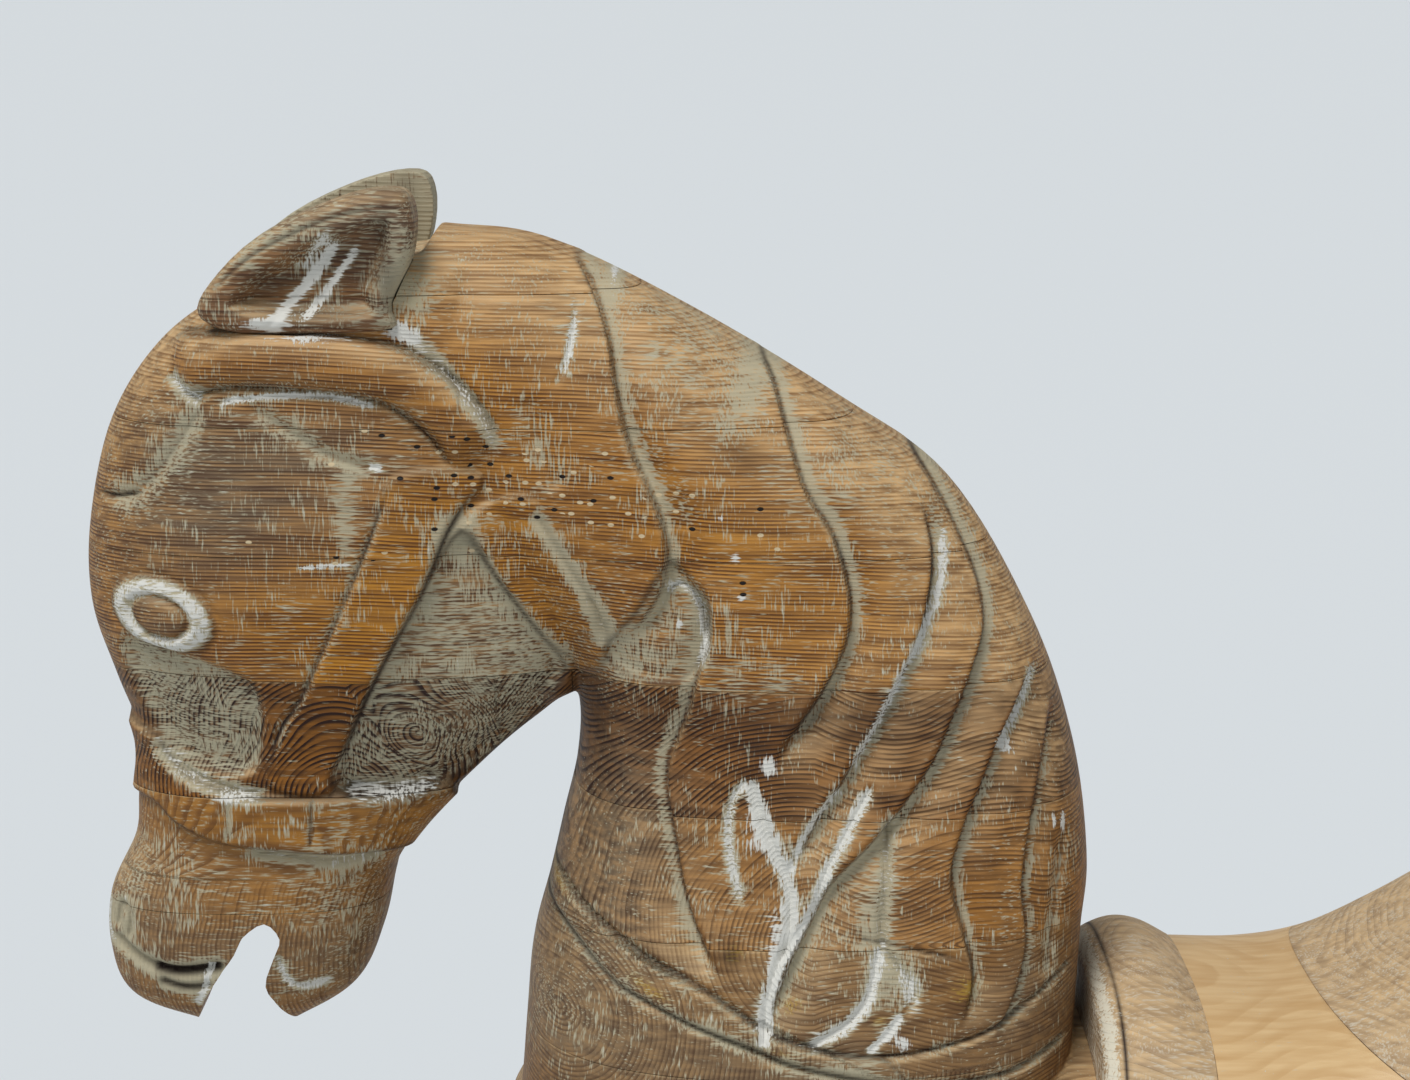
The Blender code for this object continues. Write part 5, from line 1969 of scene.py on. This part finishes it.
@dataclass
class Plinth:
    """The board under the hoofs, with a moulded edge and worn corners."""

    workshop: Workshop
    corner: float = 7.0
    corner_steps: int = 8
    profile: Path = ((1.5, 0.0), (0.0, 1.5), (0.0, 26.0), (0.6, 27.5), (2.0, 28.0), (2.4, 29.5),
                     (1.2, 31.0), (1.2, 35.5), (2.2, 38.2), (4.4, 39.85))

    def build(self) -> None:
        """Lofts the board and bores a countersunk hole for each screw."""
        low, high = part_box("plinth_board")
        half_x, half_y = (high.x - low.x) / 2 / MM, (high.y - low.y) / 2 / MM
        rings = []
        for inset, z in self.profile:
            ring = []
            for quarter, (sign_x, sign_y) in enumerate(((1, 1), (-1, 1), (-1, -1), (1, -1))):
                for step in range(self.corner_steps + 1):
                    angle = math.pi / 2 * (quarter + step / self.corner_steps)
                    ring.append((
                        sign_x * (half_x - self.corner) + math.cos(angle) * (self.corner - inset),
                        sign_y * (half_y - self.corner) + math.sin(angle) * (self.corner - inset),
                        min(z, high.z / MM),
                    ))
            rings.append(ring)
        board = loft("plinth", [np.array(rings)])
        for leg in STANCE:
            minus(board, Fixings.screw_bore(leg))
        self.workshop.finish(board, "plinth_board", PLINTH_PINE, crease=35.0)


@dataclass
class Fixings:
    """The dowels in the legs and the screws in the hoofs."""

    workshop: Workshop
    flutes: int = 12
    turns: int = 14
    chamfered: Path = ((0.82, 0.0), (1.0, 0.03), (1.0, 0.97), (0.82, 1.0))

    @staticmethod
    def turned(name: str, x: float, y: float, rows: Sequence[tuple[float | np.ndarray, float]],
               sides: int) -> bpy.types.Object:
        """An upright turned solid.

        Args:
            name: The object's name.
            x: Where its axis stands, in millimetres.
            y: The axis's other coordinate.
            rows: The radius and height of each ring, in millimetres.
            sides: How many points a ring has.

        Returns:
            The solid.
        """
        angle = math.tau * np.arange(sides) / sides
        rings = [np.column_stack([x + np.cos(angle) * radius, y + np.sin(angle) * radius,
                                  np.full(sides, z)]) for radius, z in rows]
        return loft(name, [np.array(rings)])

    @classmethod
    def bar(cls, name: str, node: str, grow: float, rows: Path | None = None,
            flutes: int = 0) -> bpy.types.Object:
        """An upright turned bar on a node's axis, or the hole for it.

        Args:
            name: The object's name.
            node: The CAD node whose box gives the place, height and radius.
            grow: How much is added all round, in millimetres.
            rows: Shares of the radius and height from below, or None for a plain bar.
            flutes: How many grooves run along it.

        Returns:
            The bar.
        """
        low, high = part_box(node)
        centre = (low + high) / 2 / MM
        radius, height = (high.x - low.x) / 2 / MM, (high.z - low.z) / MM
        sides = 2 * BORE_SIDES if flutes else BORE_SIDES
        angle = math.tau * np.arange(sides) / sides
        deep = 0.05 * (1.0 + np.cos(flutes * angle)) if flutes else 0.0
        rings = [
            (share * radius * (1.0 - deep) + grow, low.z / MM - grow + level * (height + 2 * grow))
            for share, level in rows or ((1.0, 0.0), (1.0, 1.0))
        ]
        return cls.turned(name, centre.x, centre.y, rings, sides)

    @classmethod
    def screw_bore(cls, leg: str) -> bpy.types.Object:
        """The countersunk hole for one hoof's screw, open at the plinth's underside.

        Args:
            leg: The leg's name.

        Returns:
            The solid to cut away.
        """
        node = f"{leg}_hoof_screw"
        low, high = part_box(node)
        centre = (low + high) / 2 / MM
        head, top = (high.x - low.x) / 2 / MM, high.z / MM
        wide, narrow = head + FIT, head / 2 + FIT
        rows = [(wide, -10.0), (wide, low.z / MM), (narrow, 6.6), (narrow, top - 2.0),
                (0.8, top + 0.6)]
        return cls.turned("screw_bore", centre.x, centre.y, rows, BORE_SIDES)

    @classmethod
    def bore_legs(cls, piece: bpy.types.Object, node: str) -> None:
        """Bores the holes for two leg dowels in a block of the body.

        Args:
            piece: The block.
            node: Its CAD node.
        """
        end = "fore" if node == "chest_block" else "hind"
        for side in ("near", "off"):
            minus(piece, cls.bar("bore", f"{side}_{end}_leg_dowel", FIT))

    @classmethod
    def bore_leg(cls, piece: bpy.types.Object, leg: str, half: str) -> None:
        """Bores the holes for the dowels and the screw in half a leg.

        Args:
            piece: The half leg.
            leg: The leg's name.
            half: Which half it is.
        """
        if half == "upper":
            minus(piece, cls.bar("bore", f"{leg}_leg_dowel", FIT))
        else:
            minus(piece, cls.screw_bore(leg))
        minus(piece, cls.bar("bore", f"{leg}_knee_dowel", FIT))

    def build(self) -> None:
        """Turns the dowels and screws of every leg."""
        for leg in STANCE:
            for joint in ("leg", "knee"):
                node = f"{leg}_{joint}_dowel"
                dowel = self.bar(node, node, 0.0, self.chamfered, self.flutes)
                self.workshop.finish(dowel, node, BIRCH)
            node = f"{leg}_hoof_screw"
            low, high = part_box(node)
            screw = self.bar(node, node, 0.0, self.screw_rows((high.z - low.z) / MM))
            self.workshop.finish(screw, node, SteelFinish())

    def screw_rows(self, tall: float) -> Path:
        """The outline of a countersunk screw: head, shank, threads and point.

        Args:
            tall: The screw's length, in millimetres.

        Returns:
            Shares of the radius and of the length, from the head's face.
        """
        rows = [(1.0, 0.0), (0.97, 0.3 / tall), (0.5, 3.9 / tall), (0.5, 0.30)]
        root, crest = 0.40, 0.495
        for turn in range(self.turns):
            level = 0.32 + turn * 0.60 / self.turns
            rows += [(root, level), (crest, level + 0.20 / self.turns),
                     (crest, level + 0.26 / self.turns), (root, level + 0.46 / self.turns)]
        return (*rows, (root, 0.94), (0.15, 1.0))


@dataclass
class Studio:
    """The floor, the soft light and the camera."""

    pitch: float = 12.0
    distance: float = 1.18
    target: tuple[float, float, float] = (-0.268, 0.0, 0.836)
    lens: float = 73.4
    ground: float = 125.0
    floor_colour: Colour = (0.72, 0.755, 0.775)
    sky_colour: Colour = (0.90, 0.95, 1.00)
    sky_strength: float = 0.24
    film_width: float = 36.0
    # Each lamp: name, strength, angle across, pitch and turn, in degrees.
    lamps: tuple[tuple[str, float, float, float, float], ...] = (
        ("key", 2.5, 26.0, 30.0, -34.0), ("fill", 0.25, 60.0, 62.0, 40.0),
    )

    def build(self) -> None:
        """Adds everything that isn't part of the horse."""
        self._floor()
        self._lights()
        self._camera()

    def _floor(self) -> None:
        """Lays a wide pale floor under the plinth."""
        mesh = bpy.data.meshes.new("floor")
        reach = self.ground
        corners = [(-reach, -reach, 0), (reach, -reach, 0), (reach, reach, 0), (-reach, reach, 0)]
        mesh.from_pydata(corners, [], [(0, 1, 2, 3)])
        floor = bpy.data.objects.new("floor", mesh)
        bpy.context.scene.collection.objects.link(floor)
        paper = bpy.data.materials.new("floor_paper")
        paper.use_nodes = True
        shader = paper.node_tree.nodes["Principled BSDF"]
        shader.inputs["Base Color"].default_value = (*self.floor_colour, 1.0)
        shader.inputs["Roughness"].default_value = 0.9
        shader.inputs["Specular IOR Level"].default_value = 0.1
        mesh.materials.append(paper)

    def _lights(self) -> None:
        """Adds an even sky, a broad key from above and a weak fill."""
        sky = bpy.data.worlds.new("sky")
        bpy.context.scene.world = sky
        sky.use_nodes = True
        back = sky.node_tree.nodes["Background"]
        back.inputs["Color"].default_value = (*self.sky_colour, 1.0)
        back.inputs["Strength"].default_value = self.sky_strength
        for name, energy, angle, pitch, turn in self.lamps:
            light = bpy.data.lights.new(name, "SUN")
            light.energy = energy
            light.angle = math.radians(angle)
            lamp = bpy.data.objects.new(name, light)
            lamp.rotation_euler = (math.radians(pitch), 0.0, math.radians(turn))
            bpy.context.scene.collection.objects.link(lamp)

    def _camera(self) -> None:
        """Places the camera level with the horse's shoulder, looking slightly down."""
        lens = bpy.data.cameras.new("camera")
        lens.lens = self.lens
        lens.sensor_width = self.film_width
        lens.clip_end = 1000.0
        camera = bpy.data.objects.new("camera", lens)
        pitch = math.radians(self.pitch)
        away = Vector((0.0, -math.cos(pitch), math.sin(pitch))) * self.distance
        camera.location = Vector(self.target) + away
        camera.rotation_euler = (math.pi / 2 - pitch, 0.0, 0.0)
        bpy.context.scene.collection.objects.link(camera)
        bpy.context.scene.camera = camera
        bpy.context.scene.view_settings.view_transform = "Standard"


def main() -> None:
    """Builds the horse and its studio, and reports each piece."""
    logging.basicConfig(level=logging.INFO, format="%(name)s: %(message)s")
    workshop = Workshop()
    relief = horse_relief()
    Studio().build()
    HeadAndNeck(workshop, relief).build()
    form = lower_form()
    Body(workshop, relief, form).build()
    Legs(workshop, relief, form).build()
    bpy.data.objects.remove(form, do_unlink=True)
    Ears(workshop).build()
    Saddle(workshop).build()
    Tail(workshop).build()
    Fixings(workshop).build()
    Plinth(workshop).build()


if __name__ == "__main__":
    main()
